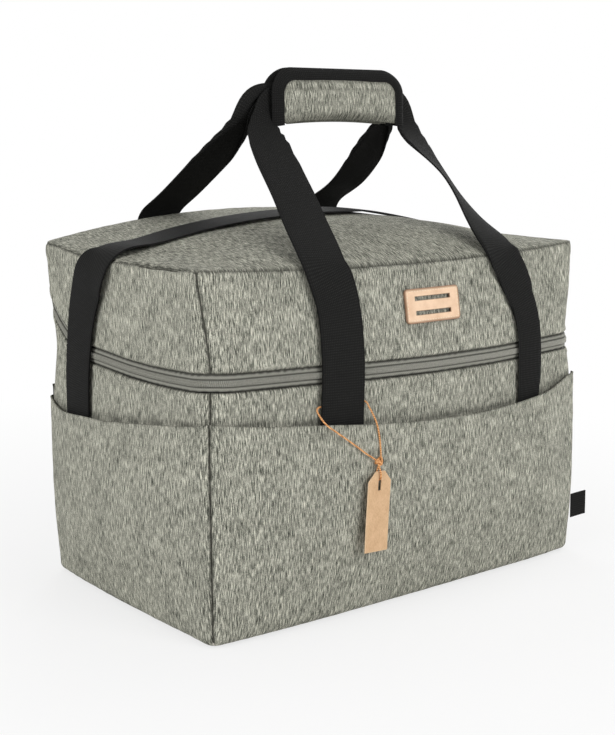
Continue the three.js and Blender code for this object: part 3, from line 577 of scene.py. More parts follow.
# %% The zip's line and the lid's edge
ZIP_EDGE = 7.8
ZIP_HALF_LENGTH = 223.0
ZIP_HALF_DEPTH = 144.0
SIDE_REACH = 142.0
CLIMB_FROM = 55.0
SIDE_RISE = 9.0
FRONT_DROOP = 7.0
CROWN_RISE = 40.0
FRONT_SAG = ([-223, -130, -60, 20, 100, 223], [3.5, 5.5, 8, 10, 10.5, 8.5])
LEFT_SAG = ([-144, -90, -60, -22, 30, 60], [3.5, 5.0, 5.2, 4.3, 1.5, 0])
RIGHT_SAG = ([-144, -100, -54, 0], [8.5, 3.5, 0.4, 0])


def zip_on(wall, t):
    """The zip sags unevenly at the front, and climbs to the hinge at the back of each side."""
    t = np.asarray(t, float)
    if wall == "back":
        return np.full(t.shape, HINGE_Z)
    if wall == "front":
        return ZIP_Z - np.interp(t * ZIP_HALF_LENGTH, *FRONT_SAG)
    y = t * SIDE_REACH if wall == "right" else -t * SIDE_REACH
    sag = np.interp(y, *(RIGHT_SAG if wall == "right" else LEFT_SAG))
    climb = np.clip((y - CLIMB_FROM) / (ZIP_HALF_DEPTH - CLIMB_FROM), 0, 1)
    return ZIP_Z - sag + (HINGE_Z - ZIP_Z) * climb**2


def lid_height(u, v):
    """The lid climbs from a slightly drooping front edge to an arched back edge."""
    side = RIM_Z + SIDE_RISE * smooth(v, 0.2, 1)
    ridge = RIM_Z - FRONT_DROOP + CROWN_RISE * (1 - ((1 - v) / 2) ** 4)
    return ridge + (side - ridge) * u * u


def rim_on(wall, t):
    """The lid's edge above a share of a wall."""
    if is_side(wall):
        return lid_height(1.0, t if wall == "right" else -t)
    return lid_height(t, -1.0 if wall == "front" else 1.0)


print("the lid is", round(float(lid_height(0, 0.6)), 1), "mm up at its crown")

# %% [markdown]
# ## Melange cloth
# Melange yarn is spun from dark and pale fibres, so the cloth shows fine upright streaks and flecks,
# slightly green. Stretched noise on the cloth's own coordinates gives streaks that follow each panel,
# and a ramp turns them into yarn colours from dark to pale. A broad noise keeps the panels from
# looking printed, and the stored number paints shade into the seams, folds and gaps.

# %% The melange finish
def melange_finish():
    f = Finish("melange", roughness=0.92, specular=0.15)
    streak = f.noise(f.on_cloth((1, 0.08, 1)), 1700, 2, 0.6, 0.3)
    second = f.noise(f.on_cloth((1, 0.06, 1)), 1350, 2, 0.6, 0.3)
    fleck = f.noise(f.on_cloth((1, 0.3, 1)), 2600, 2, 0.6)
    cloud = f.noise(f.on_cloth((1, 0.6, 1)), 40, 3, 0.5)
    yarn = streak * 0.46 + second * 0.3 + fleck * 0.24
    tone = yarn + (cloud - 0.5) * 0.06
    color = f.ramp(tone, [
        (0.40, srgb(46, 47, 42)),
        (0.47, srgb(112, 113, 103)),
        (0.52, srgb(153, 153, 141)),
        (0.60, srgb(216, 214, 198)),
    ])
    # Painted shade: the stored number draws the colour towards near black in seams, folds and gaps.
    color = f.mix(f.painted_shade_and_edge_tone() * 0.85, color, srgb(42, 42, 37))
    return f.show(color, yarn, 0.0004, 0.35)


melange = melange_finish()

# %% [markdown]
# ## The outer cloth
# Below the pockets' mouths each wall has two layers: the panel that holds the foam, and a pocket over
# it. A panel is a grid between its two side seams. What makes it read as sewn cloth is how it leaves
# its plain form: it dives into each seam, gathers a little beside it, rolls over at the zip and swells
# softly in between. All of that is one function that gives an outward move and a painted shade, which
# is dark in the seams, along the zip's edge and just above a pocket's mouth.

# %% Lay a grid on part of a wall
def seam_distance(wall, t, z):
    return (1 - np.abs(t)) * (wall_half(wall, z) - SEAM_SHARE * corner(z))


def wall_sheet(name, wall, low, high, lift, columns, rows, tight=False):
    """low and high give the two edges' heights from t, and lift gives the outward move and the shade."""
    t = crowded(columns)[:, None]
    share = (crowded(rows) / 2 + 0.5)[None, :]
    z = low(t) + (high(t) - low(t)) * share
    t = np.broadcast_to(t, z.shape)
    out, shade = lift(wall, t, z)
    cloth = np.stack([wall_run(wall, t, z) + 11 * SEEDS[wall], z], -1) / 1000
    return laid_grid(name, wall_point(wall, t, z, out, tight), cloth, shade)


def level(height):
    return lambda t: height + 0 * t


print("the front is", round(2 * float(wall_run("front", 1, 90.0))), "mm wide from seam to seam")

# %% Where the pockets' mouths lie
FAR_SEAM = {"front": 1, "right": -1, "back": 1, "left": -1}
LONG_MOUTH = (
    [-1, -0.95, -0.78, -0.52, -0.31, -0.12, 0.04, 0.3, 0.46, 0.58, 0.73, 0.84, 0.91, 1],
    [194, 192, 187.5, 182, 177, 173.5, 171, 169.5, 170.5, 172, 175, 180, 185, 189],
)
SHORT_MOUTH = (
    [-1, -0.9, -0.5, -0.28, 0, 0.31, 0.5, 0.73, 0.88, 1],
    [194, 190.5, 184.5, 180.5, 176, 173, 171.5, 170, 172, 179],
)


def mouth_on(wall, t):
    """A pocket's mouth sags between its seams, most of all beyond the middle."""
    share = FAR_SEAM[wall] * np.asarray(t, float)
    heights = SHORT_MOUTH if is_side(wall) else LONG_MOUTH
    return sum(np.interp(share + shift, *heights) for shift in (-0.05, -0.02, 0, 0.02, 0.05)) / 5


lowest = float(mouth_on("front", np.linspace(-1, 1, 99)).min())
print("the front pocket sags to", round(lowest, 1), "mm")

# %% How a panel stands off its plain form
HINGE_GAP = 5.0


def zip_distance(wall, t, z):
    gap = HINGE_GAP if wall == "back" else ZIP_EDGE
    return np.abs(z - zip_on(wall, t)) - gap


def panel_lift(wall, t, z):
    seam = seam_distance(wall, t, z)
    edge = zip_distance(wall, t, z)
    run = wall_run(wall, t, z)
    seed = SEEDS[wall]
    swell = 0.8 * swells(run, 0.6 * z, seed, 120) * smooth(seam, 0, 40)
    roll = 1.0 * near(edge - 3.2, 2.4) - 1.6 * near(edge, 1.2)
    gathers = 0.3 * swells(run, 0 * z, seed + 5, 15) * np.exp(-np.clip(edge, 0, None) / 12)
    pleats = 0.3 * swells(z, 0 * run, seed + 7, 15) * np.exp(-seam / 6)
    valley = 1.6 * near(seam, 1.1)
    # Painted shade: dark in each seam, along the cloth's edge at the zip with a ragged border, and in a thin
    # line just above a pocket's mouth, where the pocket's shadow would fall.
    ragged_shade = 0.8 + 0.2 * swells(run, 0 * z, seed + 8, 5)
    above_mouth = z - mouth_on(wall, t)
    mouth = np.where(above_mouth > -1, near(above_mouth, 2.2), 0)
    shade = np.maximum(near(seam, 1.0), np.maximum(near(edge, 1.0) * ragged_shade, 0.6 * mouth))
    return swell + roll + gathers + pleats - valley, shade


print("near a seam a panel dives by", round(-float(panel_lift("front", 0.999, 200.0)[0]), 1), "mm")

# %% How a pocket stands off the panel
MOUTH_Z = 175.0
POCKET_FOOT = 3.0
POCKET_GAP = 1.9
POCKET_SLACK = 8.0


def pocket_lift(wall, t, z):
    seam = seam_distance(wall, t, z)
    run = wall_run(wall, t, z)
    lip = mouth_on(wall, t) - z
    seed = SEEDS[wall]
    height = np.clip((z - POCKET_FOOT) / (MOUTH_Z - POCKET_FOOT), 0, 1)
    slack = POCKET_GAP + POCKET_SLACK * smooth(seam, 0, 62) * np.sqrt(height)
    swell = 1.3 * swells(run, 0.35 * z, seed + 1, 110) * smooth(seam, 0, 50)
    ripples = 0.8 * swells(run, 0.1 * z, seed + 2, 45) * smooth(z, 60, MOUTH_Z) * smooth(seam, 0, 30)
    gathers = 0.25 * swells(run, 0 * z, seed + 3, 14) * np.exp(-(z - POCKET_FOOT) / 9)
    pleats = 0.35 * swells(z, 0 * run, seed + 4, 17) * np.exp(-seam / 6)
    hem = 0.5 * near(lip, 2.0)
    valley = 1.9 * near(seam, 1.2)
    # Painted shade in the seams and in a thin line just below the pocket's mouth.
    shade = np.maximum(near(seam, 1.0), 0.4 * near(lip, 0.9))
    return slack + swell + ripples + gathers + pleats + hem - valley, shade


print("a pocket stands", round(float(pocket_lift("front", 0.0, 160.0)[0]), 1), "mm off at its middle")

# %% Cut the panels, the pockets and the foam of the walls
def foam_finish():
    f = Finish("foam", roughness=0.9)
    cells = f.node("ShaderNodeTexVoronoi", None, {"Vector": f.on_object(), "Scale": 700})
    return f.show(f.mix(cells, (0.86, 0.86, 0.83), (0.72, 0.72, 0.69)), cells, 0.0005)


foam = foam_finish()
CLOTH = 2.0
FOAM = 8.0
FOAM_INSET = 2.45


def inset_by(depth):
    return lambda wall, t, z: (-depth, 0.0)


for wall in WALLS:
    panel_top = lambda t, w=wall: zip_on(w, t) - (HINGE_GAP if w == "back" else ZIP_EDGE)
    panel = wall_sheet(wall + "_cloth", wall, level(2.0), panel_top, panel_lift, 92, 48)
    dress(thicken(panel, CLOTH), melange, "melange", "bag", wall + "_panel")
    pocket_top = lambda t, w=wall: mouth_on(w, t)
    pocket = wall_sheet(wall + "_pocket_cloth", wall, level(1.2), pocket_top, pocket_lift, 110, 56, True)
    dress(ease_edges(thicken(pocket, 1.5), 0.4), melange, "melange", "bag", wall + "_pocket")
    foam_top = lambda t, w=wall: zip_on(w, t) - ZIP_EDGE - 0.5
    slab = wall_sheet(wall + "_foam", wall, level(4.6), foam_top, inset_by(FOAM_INSET), 30, 12)
    dress(thicken(slab, FOAM), foam, "foam", "bag", "insulation_" + wall)
print("4 panels, 4 pockets and 4 slabs of foam")

# %% [markdown]
# ## The bottom
# The cloth under the bag is one flat piece that turns up a few millimetres where it meets the walls.
# Above it lie a stiff board and the foam. All three share the bag's outline, so they are one kind of
# sheet: a square grid pressed into that outline.

# %% A square grid pressed into the bag's outline
def in_plan(u, v, z, out):
    """A square's point, from -1 to 1 both ways, pressed into the bag's outline at a height."""
    z = np.clip(z, 0, RIM_Z)
    length = half_length(z) + side_bow(z) * (1 - v * v) + out
    depth = half_depth(z) + np.where(v < 0, front_bow(z), back_bow(z)) * (1 - u * u) + out
    x, y = np.abs(u) * length, np.abs(v) * depth
    c = corner(z, out) + out
    px, py = np.clip(x - (length - c), 0, c), np.clip(y - (depth - c), 0, c)
    dx = px * (np.sqrt(1 - py**2 / (2 * c * c)) - 1)
    dy = py * (np.sqrt(1 - px**2 / (2 * c * c)) - 1)
    return np.sign(u) * (x + dx), np.sign(v) * (y + dy)


def plain(x, y, u, v):
    """No rise and no darkness."""
    return 0.0, 0.0


def plan_sheet(name, columns, rows, out, height, detail=plain, outline_z=None):
    """height gives z from the shares u along X and v along Y, and detail adds its rise and its shade."""
    u, v = np.meshgrid(crowded(columns), crowded(rows), indexing="ij")
    z = height(u, v)
    x, y = in_plan(u, v, z if outline_z is None else outline_z, out)
    rise, shade = detail(x, y, u, v)
    return laid_grid(name, table(x, y, z + rise), table(x, y) / 1000, shade)


print("the square's corner is pressed in to", [round(float(v), 1) for v in in_plan(1, 1, 0, 0)], "mm")

# %% Lay the bottom
BASE_HALF = (222.0, 140.0)
BASE_FOAM_TOP = 13.4


def board_finish():
    f = Finish("board", roughness=0.8)
    grain = f.noise(f.on_object((1, 0.2, 1)), 400, 4)
    return f.show(f.mix(grain, (0.42, 0.39, 0.35), (0.5, 0.47, 0.42)), grain, 0.0003)


def from_edge(u, v):
    """How far a place of the base lies from its edge."""
    return np.minimum((1 - np.abs(u)) * BASE_HALF[0], (1 - np.abs(v)) * BASE_HALF[1])


board = board_finish()
turned_up = lambda u, v: 2.0 + 2.2 * (1 - smooth(from_edge(u, v), 0, 5))
bottom = plan_sheet("bottom_cloth", 64, 48, -1.6, turned_up, outline_z=4.0)
dress(thicken(bottom, 1.8), melange, "melange", "bag", "bottom_panel")
base_foam = plan_sheet("base_foam", 40, 30, -FOAM_INSET - 0.3, lambda u, v: BASE_FOAM_TOP, outline_z=10.0)
dress(thicken(base_foam, FOAM), foam, "foam", "bag", "insulation_base")
carry_over("base_board", board, "board")
print("bottom cloth, board and foam")

# %% [markdown]
# ## The lid
# The lid is a shallow box: four gussets and a crowned top, sewn edge to edge. Its top is padded, so it
# climbs quickly from the seam and then levels out. The seam itself is a small valley between two
# rolls of cloth, and that valley is what draws the lid's outline from afar.

# %% The gussets
TOP_SEAM = 0.5
LID_FOAM_DROP = 13.0


def gusset_lift(wall, t, z):
    out, shade = panel_lift(wall, t, z)
    rim = rim_on(wall, t) - z
    run = wall_run(wall, t, z)
    valley = 2.4 * near(rim, 1.3)
    roll = 0.9 * near(rim - 8, 6.5)
    gathers = 0.35 * swells(run, 0 * z, SEEDS[wall] + 9, 17) * np.exp(-rim / 7)
    # Painted shade also runs along the seam at the lid's edge.
    return out + roll + gathers - valley, np.maximum(shade, near(rim, 1.6))


for wall in WALLS:
    foot = lambda t, w=wall: zip_on(w, t) + (HINGE_GAP if w == "back" else ZIP_EDGE)
    top = lambda t, w=wall: rim_on(w, t) - TOP_SEAM
    gusset = wall_sheet("lid_" + wall + "_cloth", wall, foot, top, gusset_lift, 92, 44)
    dress(thicken(gusset, CLOTH), melange, "melange", "lid", "lid_" + wall + "_gusset")
    foam_foot = lambda t, w=wall: zip_on(w, t) + ZIP_EDGE + 0.5
    foam_top = lambda t, w=wall: rim_on(w, t) - LID_FOAM_DROP
    slab = wall_sheet("lid_" + wall + "_foam", wall, foam_foot, foam_top, inset_by(FOAM_INSET), 30, 9)
    dress(thicken(slab, FOAM), foam, "foam", "lid", "lid_insulation_" + wall)


# %% The crowned top
LID_HALF_LENGTH = 227.0
LID_HALF_DEPTH = 140.0


def crown_detail(x, y, u, v):
    edge = np.minimum((1 - np.abs(u)) * LID_HALF_LENGTH, (1 - np.abs(v)) * LID_HALF_DEPTH)
    valley = 2.4 * near(edge, 1.3)
    roll = 1.5 * np.exp(-edge / 18) * (1 - np.exp(-edge / 4))
    swell = 1.2 * swells(x, 1.6 * y, 51, 150) * smooth(edge, 0, 40)
    ripples = 0.6 * swells(0.5 * x, y, 52, 60) * smooth(edge, 0, 25)
    gathers = 0.35 * swells(x, y, 53, 17) * np.exp(-edge / 8)
    # The second value is painted shade along the seam round the lid's top.
    return roll + swell + ripples + gathers - valley, near(edge, 2.2)


crown = plan_sheet("lid_top_cloth", 116, 84, 0.0, lid_height, crown_detail)
dress(thicken(crown, CLOTH), melange, "melange", "lid", "lid_top_panel")
pad = plan_sheet("lid_top_foam", 40, 30, -FOAM_INSET, lambda u, v: lid_height(u, v) - 4.0)
dress(thicken(pad, FOAM), foam, "foam", "lid", "lid_insulation_top")
print("the lid has 5 pieces of cloth and 5 of foam")

# %% [markdown]
# ## The foil inside
# A cooler is lined with heat-sealed foil on thin foam. It is looser than the walls, so it creases. The
# liner is a grid wrapped round the inside: its first direction goes round the four walls, its second
# runs down a wall and over the floor to one point. Merging the doubled points closes the seam and
# the pole, which is why the normals are worked out again after that.

# %% The foil finish
def foil_finish():
    f = Finish("foil", roughness=0.34, metallic=0.75, specular=0.5)
    crease = f.noise(f.on_object(), 55, 6, 0.62)
    fine = f.noise(f.on_object(), 380, 3, 0.6)
    return f.show(f.mix(crease, (0.55, 0.57, 0.60), (0.72, 0.74, 0.76)), crease + fine * 0.15, 0.003, 0.5)


foil = foil_finish()
LINER_INSET = 12.5
LINER_FLOOR = 15.0
LINER_DROP = 14.5


def round_the_walls(point, columns=36):
    """Points of the four walls in turn, ending where they began."""
    ring = [point(wall, crowded(columns)[:-1]) for wall in WALLS]
    ring.append(point("front", np.array([-1.0])))
    return np.concatenate(ring)


def liner(name, rows, body, node):
    places = np.stack(rows, 1)
    down = np.stack([along(column) for column in places])
    cloth = table(along(places[:, 0])[:, None], down) / 1000
    piece = laid_grid(name, places, cloth, closed=True, sharp=70)
    return dress(thicken(piece, 0.8, 0), foil, "foil", body, node)


# %% The tub of the body
def tub_row(share):
    def point(wall, t):
        top = zip_on(wall, t) - ZIP_EDGE
        z = LINER_FLOOR + (top - LINER_FLOOR) * share
        crease = 0.8 * swells(wall_run(wall, t, z), z, SEEDS[wall] + 60, 60) * smooth(top - z, 0, 20)
        curve = 5 * np.clip(1 - (z - LINER_FLOOR) / 9, 0, 1) ** 2
        return wall_point(wall, t, z, crease - LINER_INSET - curve)

    return round_the_walls(point)


def tub_rows():
    rows = [tub_row(share) for share in [*np.linspace(1, 0.06, 26), 0.03, 0.008]]
    for shrink in (0.93, 0.82, 0.65, 0.45, 0.22, 0.0):
        flat = rows[27] * [shrink, shrink, 0]
        flat[:, 2] = LINER_FLOOR + 0.2 + 0.5 * swells(flat[:, 0], flat[:, 1], 71, 70)
        rows.append(flat)
    return rows


liner("body_foil", tub_rows(), "bag", "body_liner")


# %% The lining of the lid
def dome_row(share):
    def point(wall, t):
        foot = zip_on(wall, t) + ZIP_EDGE
        z = foot + (rim_on(wall, t) - LINER_DROP - foot) * share
        crease = 0.6 * swells(wall_run(wall, t, z), z, SEEDS[wall] + 80, 50) * smooth(z - foot, 0, 15)
        return wall_point(wall, t, z, crease - LINER_INSET - 4 * share**6)

    return round_the_walls(point)


def dome_rows():
    rows = [dome_row(share) for share in np.linspace(0, 1, 12)]
    rim = rows[-1]
    for shrink in (0.97, 0.9, 0.78, 0.62, 0.42, 0.2, 0.0):
        flat = rim * [shrink, shrink, 1]
        u, v = np.clip(flat[:, :2] / [LID_HALF_LENGTH, LID_HALF_DEPTH], -1, 1).T
        under = lid_height(u, v) - LINER_DROP
        share = smooth(np.full(len(flat), 1 - shrink), 0, 0.1)
        flat[:, 2] = rim[:, 2] * (1 - share) + under * share + 0.7 * swells(flat[:, 0], flat[:, 1], 91, 60)
        rows.append(flat)
    return rows


liner("lid_foil", dome_rows(), "lid", "lid_liner")
print("both liners are closed at their poles")

# %% [markdown]
# ## Webbing, binding and cut edges
# The straps are woven polypropylene, the bindings a thinner ribbed tape. Both are nearly black, so what
# shows is the light on their ribs. Cloth, foam and foil end together at the zip, where a binding is
# folded over them.

# %% The finishes of webbing and binding
def webbing_finish(name, light):
    f = Finish(name, roughness=0.85, specular=0.12)
    across = f.ribs(f.on_cloth(), 165, "X")
    length = f.ribs(f.on_cloth(), 140, "Y")
    weave = across * length
    dust = f.noise(f.on_cloth(), 240, 4, 0.7)
    dark_yarn = (light * 0.4, light * 0.4, light * 0.38)
    pale_yarn = (light * 1.9, light * 1.9, light * 1.8)
    color = f.mix(weave * 0.7 + dust * 0.3, dark_yarn, pale_yarn)
    color = f.mix(f.painted_shade_and_edge_tone() * 0.6, color, (light * 0.3,) * 3)
    return f.show(color, weave, 0.0006, 0.7)


webbing = webbing_finish("webbing", 0.0118)
ribbon = webbing_finish("ribbon", 0.0098)


# %% Sweep a section along a line
def swept(name, line, side, up, section, warp=None, sharp=60):
    """A closed section of (side, up) places that is carried along a line, and closed at both ends."""
    ring = np.array([*section, section[0]], float)
    places = line[None] + side[None] * ring[:, 0, None, None] + up[None] * ring[:, 1, None, None]
    cloth = table(along(ring)[:, None], along(line)[None, :]) / 1000
    places = places if warp is None else warp(places)
    return laid_grid(name, places, cloth, closed=True, capped=True, sharp=sharp)


def unit(vectors):
    return vectors / np.linalg.norm(vectors, axis=-1, keepdims=True)


# %% The zip's line, and the bindings on both sides of it
ZIP_END = 0.93


def zip_line(rise, out):
    """The zip's line round the left side, the front and the right side, moved up and outwards."""
    parts = []
    for wall, start, end in (("left", -ZIP_END, 1.0), ("front", -1.0, 1.0), ("right", -1.0, ZIP_END)):
        t = crowded(151)
        t = t[(t >= start) & (t <= end)]
        parts.append(wall_point(wall, t, zip_on(wall, t) + rise, out)[1 if parts else 0:])
    return np.concatenate(parts)


RIM_SECTION = [
    (-2.2, 0.0), (-2.4, 1.0), (-7.0, 1.8), (-12.0, 1.4), (-13.6, 0.0), (-13.9, -6.0),
    (-13.3, -6.2), (-12.8, -0.6), (-7.0, 0.6), (-2.9, -0.2),
]


def rim_binding(name, body, sign):
    line = zip_line(sign * ZIP_EDGE, 0.0)
    side = unit(zip_line(sign * ZIP_EDGE, 1.0) - line)
    up = np.zeros_like(line) + [0, 0, -sign]
    return dress(swept(name, line, side, up, RIM_SECTION), ribbon, "webbing", body)


rim_binding("body_rim_binding", "bag", -1)
rim_binding("lid_rim_binding", "lid", 1)

# %% [markdown]
# ## The zip
# Each half of the zip is a herringbone tape with a nylon coil sewn along its edge. The coil is a row of
# small loops, which look like beads from outside. One bead is a sphere of a few faces, pressed long
# and placed once for every 1.5 mm, alternating between the halves so that they mesh.

# %% The zip's finishes
def tape_finish():
    f = Finish("zip_tape", roughness=0.8, specular=0.2)
    chevron = f.ribs(f.on_cloth(), 300, "DIAGONAL", 0.6)
    fleck = f.noise(f.on_cloth(), 1400, 2)
    color = f.mix(chevron * 0.5 + fleck * 0.5, srgb(112, 113, 105), srgb(158, 157, 147))
    # Painted shade: the stored number draws the tape towards near black beside the coil and under the cloth's
    # edge.
    return f.show(f.mix(f.painted_shade_and_edge_tone() * 0.85, color, srgb(34, 34, 30)), chevron, 0.0004)


def coil_finish():
    f = Finish("zip_coil", roughness=0.45)
    return f.show(f.mix(f.noise(f.on_object(), 900, 2), srgb(118, 118, 110), srgb(176, 175, 165)))


tape = tape_finish()
coil = coil_finish()

# %% The tapes
ZIP_LINE = zip_line(0.0, 0.0)
ZIP_OUT = unit(zip_line(0.0, 1.0) - ZIP_LINE)
ZIP_RUN = along(ZIP_LINE)
COIL_PITCH = 1.5
LOOP_HALVES = (0.62, 0.95, 1.75)
print("the zip is", round(float(ZIP_RUN[-1])), "mm long")


def zip_tape(name, node, body, sign):
    rise = np.array([2.4, 3.0, 3.5, 4.2, 4.9, 5.6, 6.2, 6.8, 7.3, 8.4, 10.5])
    lift = np.array([-0.4, -0.7, -0.9, -0.45, -0.35, -0.5, -0.8, -1.3, -1.8, -2.2, -2.4])
    ragged_shade = 0.5 * swells(ZIP_RUN, 0 * ZIP_RUN, 17 + sign, 4)
    places = ZIP_LINE[:, None] + ZIP_OUT[:, None] * lift[None, :, None]
    places[..., 2] += sign * rise[None, :]
    # Painted shade: a dark line beside the coil, and dark tape where the cloth's edge overhangs it, along a
    # ragged border.
    gap = 7.1 + ragged_shade[:, None] - rise[None, :]
    shade = np.maximum(near(rise[None, :] - 3.1, 0.7), np.where(gap < 0, 1, near(gap, 1.0)))
    cloth = table(ZIP_RUN[:, None], sign * rise[None, :]) / 1000
    if sign < 0:
        places, cloth, shade = places[:, ::-1], cloth[:, ::-1], shade[:, ::-1]
    return dress(thicken(laid_grid(name, places, cloth, shade), 0.7), tape, "zip_tape", body, node)


zip_tape("tape_lower", "zip_tape_lower", "bag", -1)
zip_tape("tape_upper", "zip_tape_upper", "lid", 1)


# %% Many small beads in one mesh
def bead(place, ahead, up, sizes):
    """The matrix that presses a sphere to three half sizes in millimetres and turns it to its way."""
    side = np.cross(up, ahead)
    matrix = Matrix.Identity(4)
    for k, (way, half) in enumerate(zip((ahead, side, up), sizes)):
        matrix.col[k] = (*(way * half / 1000), 0)
    matrix.col[3] = (*(place / 1000), 1)
    return matrix


def beads(name, matrices, batch=24):
    """Operators slow down in a large mesh, so the spheres are made in batches that are then joined."""
    whole = bmesh.new()
    for first in range(0, len(matrices), batch):
        part = bmesh.new()
        for matrix in matrices[first:first + batch]:
            bmesh.ops.create_uvsphere(part, u_segments=6, v_segments=5, radius=1.0, matrix=matrix)
        mesh = bpy.data.meshes.new("batch")
        part.to_mesh(mesh)
        part.free()
        whole.from_mesh(mesh)
        bpy.data.meshes.remove(mesh)
    print(name, "has", len(matrices), "beads")
    return link_mesh(name, whole, 70)


# %% The coils
def zip_coil(name, node, body, sign):
    first = 2.0 + (COIL_PITCH / 2 if sign > 0 else 0)
    runs = np.arange(first, ZIP_RUN[-1] - 2, COIL_PITCH)
    at = read_off(runs, ZIP_RUN, ZIP_LINE) + read_off(runs, ZIP_RUN, ZIP_OUT) * 0.15 + [0, 0, sign * 1.15]
    ahead = unit((read_off(runs + 0.5, ZIP_RUN, ZIP_LINE) - at) * [1, 1, 0])
    upright = np.array([0, 0, 1.0])
    matrices = [bead(place, way, upright, LOOP_HALVES) for place, way in zip(at, ahead)]
    return dress(beads(name, matrices), coil, "zip_coil", body, node)


zip_coil("coil_lower", "zip_coil_lower", "bag", -1)
zip_coil("coil_upper", "zip_coil_upper", "lid", 1)

# %% [markdown]
# ## The hinge
# At the back a strip of cloth joins lid and body, and the lid turns on it. It is one sheet that crosses
# the joint, laid on the back wall with a soft swell along the hinge line, and is put on neither body.

# %% The hinge strip
def hinge_lift(wall, t, z):
    # The second value is painted shade along the hinge's fold.
    return 0.9 + 0.5 * near(z - HINGE_Z, 3), 0.7 * near(z - HINGE_Z, 0.8)


hinge = wall_sheet("hinge_cloth", "back", level(HINGE_Z - 14), level(HINGE_Z + 14), hinge_lift, 60, 17)
dress(thicken(hinge, 0.7), melange, "melange", None, "lid_hinge_fold")
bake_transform(hinge)

# %% [markdown]
# ## Webbing straps
# A strap is a ribbon that keeps its width wherever it goes, so it is modelled directly: stations
# along its way say where its middle is, which way its width points and how much of the width shows.
# Where less shows, the edges are folded in behind, as they are where a handle enters the padded wrap.

# %% A ribbon through stations
ACROSS = np.array([-23.5, -22.6, -20.5, -18, -15, -12, -8, -4, 0, 4, 8, 12, 15, 18, 20.5, 22.6, 23.5])
STRAP_STEP = 4.0


def evened(points, times):
    """Draws each point towards its two neighbours, some times over. The ends stay."""
    for _ in range(times):
        points[1:-1] = (points[:-2] + 2 * points[1:-1] + points[2:]) / 4
    return points


def strap(name, stations, calm):
    """A ribbon. Each station is a place, the direction of its width and how much of the width shows.

    The line is evened out calm times, and keys then says which of its points is nearest to a station.
    """
    centres, ways, widths = (np.array(values, float) for values in zip(*stations))
    line = evened(smooth_line(centres, STRAP_STEP), calm)
    keys = np.maximum.accumulate([int(np.argmin(np.linalg.norm(line - c, axis=1))) for c in centres])
    index = np.arange(len(line))
    width = np.interp(index, keys, widths)
    width = np.convolve(np.pad(width, 2, mode="edge"), np.ones(5) / 5, mode="valid")[:, None]
    across = evened(read_off(index, keys, ways), calm)
    tangent = unit(np.gradient(line, axis=0))
    across = unit(across - tangent * (across * tangent).sum(1)[:, None])
    out = np.cross(across, tangent)
    over = np.clip(np.abs(ACROSS) - width / 2, 0, None)
    sideways = np.sign(ACROSS) * (np.minimum(np.abs(ACROSS), width / 2) - 0.92 * over)
    behind = -2.4 * (1 - np.exp(-over / 1.2)) + 0.3 * np.cos(math.pi * ACROSS / 47)
    places = line[:, None] + across[:, None] * sideways[..., None] + out[:, None] * behind[..., None]
    places = np.swapaxes(places, 0, 1)
    run = along(line)
    cloth = table(ACROSS[:, None], run[None, :]) / 1000
    shade = 0.8 * near(np.abs(ACROSS)[:, None] - 22.6, 0.8)
    piece = laid_grid(name, places, cloth, shade, sharp=70)
    print(name, "is", round(float(run[-1])), "mm long")
    return ease_edges(thicken(piece, 1.7, 0), 0.4)


# %% Places on a wall
ALONG_X = np.array([1.0, 0, 0])
WEB = 46.0


def on_wall(wall, place, z, out):
    """A place along X or Y on a wall, moved outwards."""
    sign = -1 if wall in ("back", "left") else 1
    half = float(wall_half(wall, z) - SEAM_SHARE * corner(z, out))
    return wall_point(wall, np.array(sign * place / half), np.array(float(z)), out)


def across_wall(wall, place, z, out):
    return unit(on_wall(wall, place + 20, z, out) - on_wall(wall, place - 20, z, out))


def square_on_wall(wall, x, z, out):
    """A place on the front or the back that clears the wall over the strap's whole width."""
    y = on_wall(wall, abs(x) - WEB / 2, z, out)[1]
    return np.array([x, y, z])


print("the front handle leaves its pocket at", on_wall("front", -95, 168, 2.0).round(1))

# %% [markdown]
# ## Carry handles
# Each handle is one length of webbing. It is sewn to the panel inside a pocket, climbs the wall outside
# the zip, leaves the wall at the lid's edge and leans in to the wrap, where it is gathered to half its
# width and turns along the grip. The right leg twists as it leaves the wall, so for a stretch only
# its edge shows.

# %% One leg of a handle
GRIP_Y = 2.6
GRIP_Z = 464.0
GRIP_BEND = 16.0
GRIP_WIDTH = 24


def leg(wall, pocket_x, shown, climb, free, fold_x, inwards):
    """Stations from inside the pocket, up the wall and through the air to the fold at the grip.

    climb gives x, z and width on the wall, and free gives x, y, z, the width's turn and the width.
    """
    face = -1 if wall == "front" else 1
    stations = []
    for z, out in ((96, 1.2), (135, 1.4), (168, 2.0)):
        place = on_wall(wall, pocket_x, z, out)
        stations.append((place, across_wall(wall, pocket_x, z, out), shown))
    for x, z, width in climb:
        out = 3.0 + 2.2 * float(smooth(z, 285, 315))
        stations.append((square_on_wall(wall, x, z, out), ALONG_X, width))
    for x, y, z, turn, width in free:
        lean = math.radians(turn)
        stations.append((np.array([x, y, z]), np.array([math.cos(lean), math.sin(lean), 0]), width))
    for a in (0.0, 0.52, 1.05, 1.57):
        x = fold_x + inwards * GRIP_BEND * (1 - math.cos(a))
        z = GRIP_Z - GRIP_BEND * (1 - math.sin(a))
        across = np.array([math.cos(a), 0, -inwards * math.sin(a)])
        stations.append((np.array([x, face * GRIP_Y, z]), across, GRIP_WIDTH))
    return stations


def handle(wall, left, right, middle_x):
    """Up the left leg, along the grip and down the right leg."""
    face = -1 if wall == "front" else 1
    middle = [(np.array([middle_x, face * GRIP_Y, GRIP_Z]), np.array([0, 0, -1.0]), GRIP_WIDTH)]
    down = [(place, -across, width) for place, across, width in right[::-1]]
    stations = [(place, -face * across, width) for place, across, width in left + middle + down]
    piece = strap(wall + "_handle_strap", stations, 12)
    anchors = [wall + "_handle_anchor_left", wall + "_handle_anchor_right"]
    dress(piece, webbing, "webbing", None, wall + "_handle_webbing", *anchors)
    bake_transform(piece)


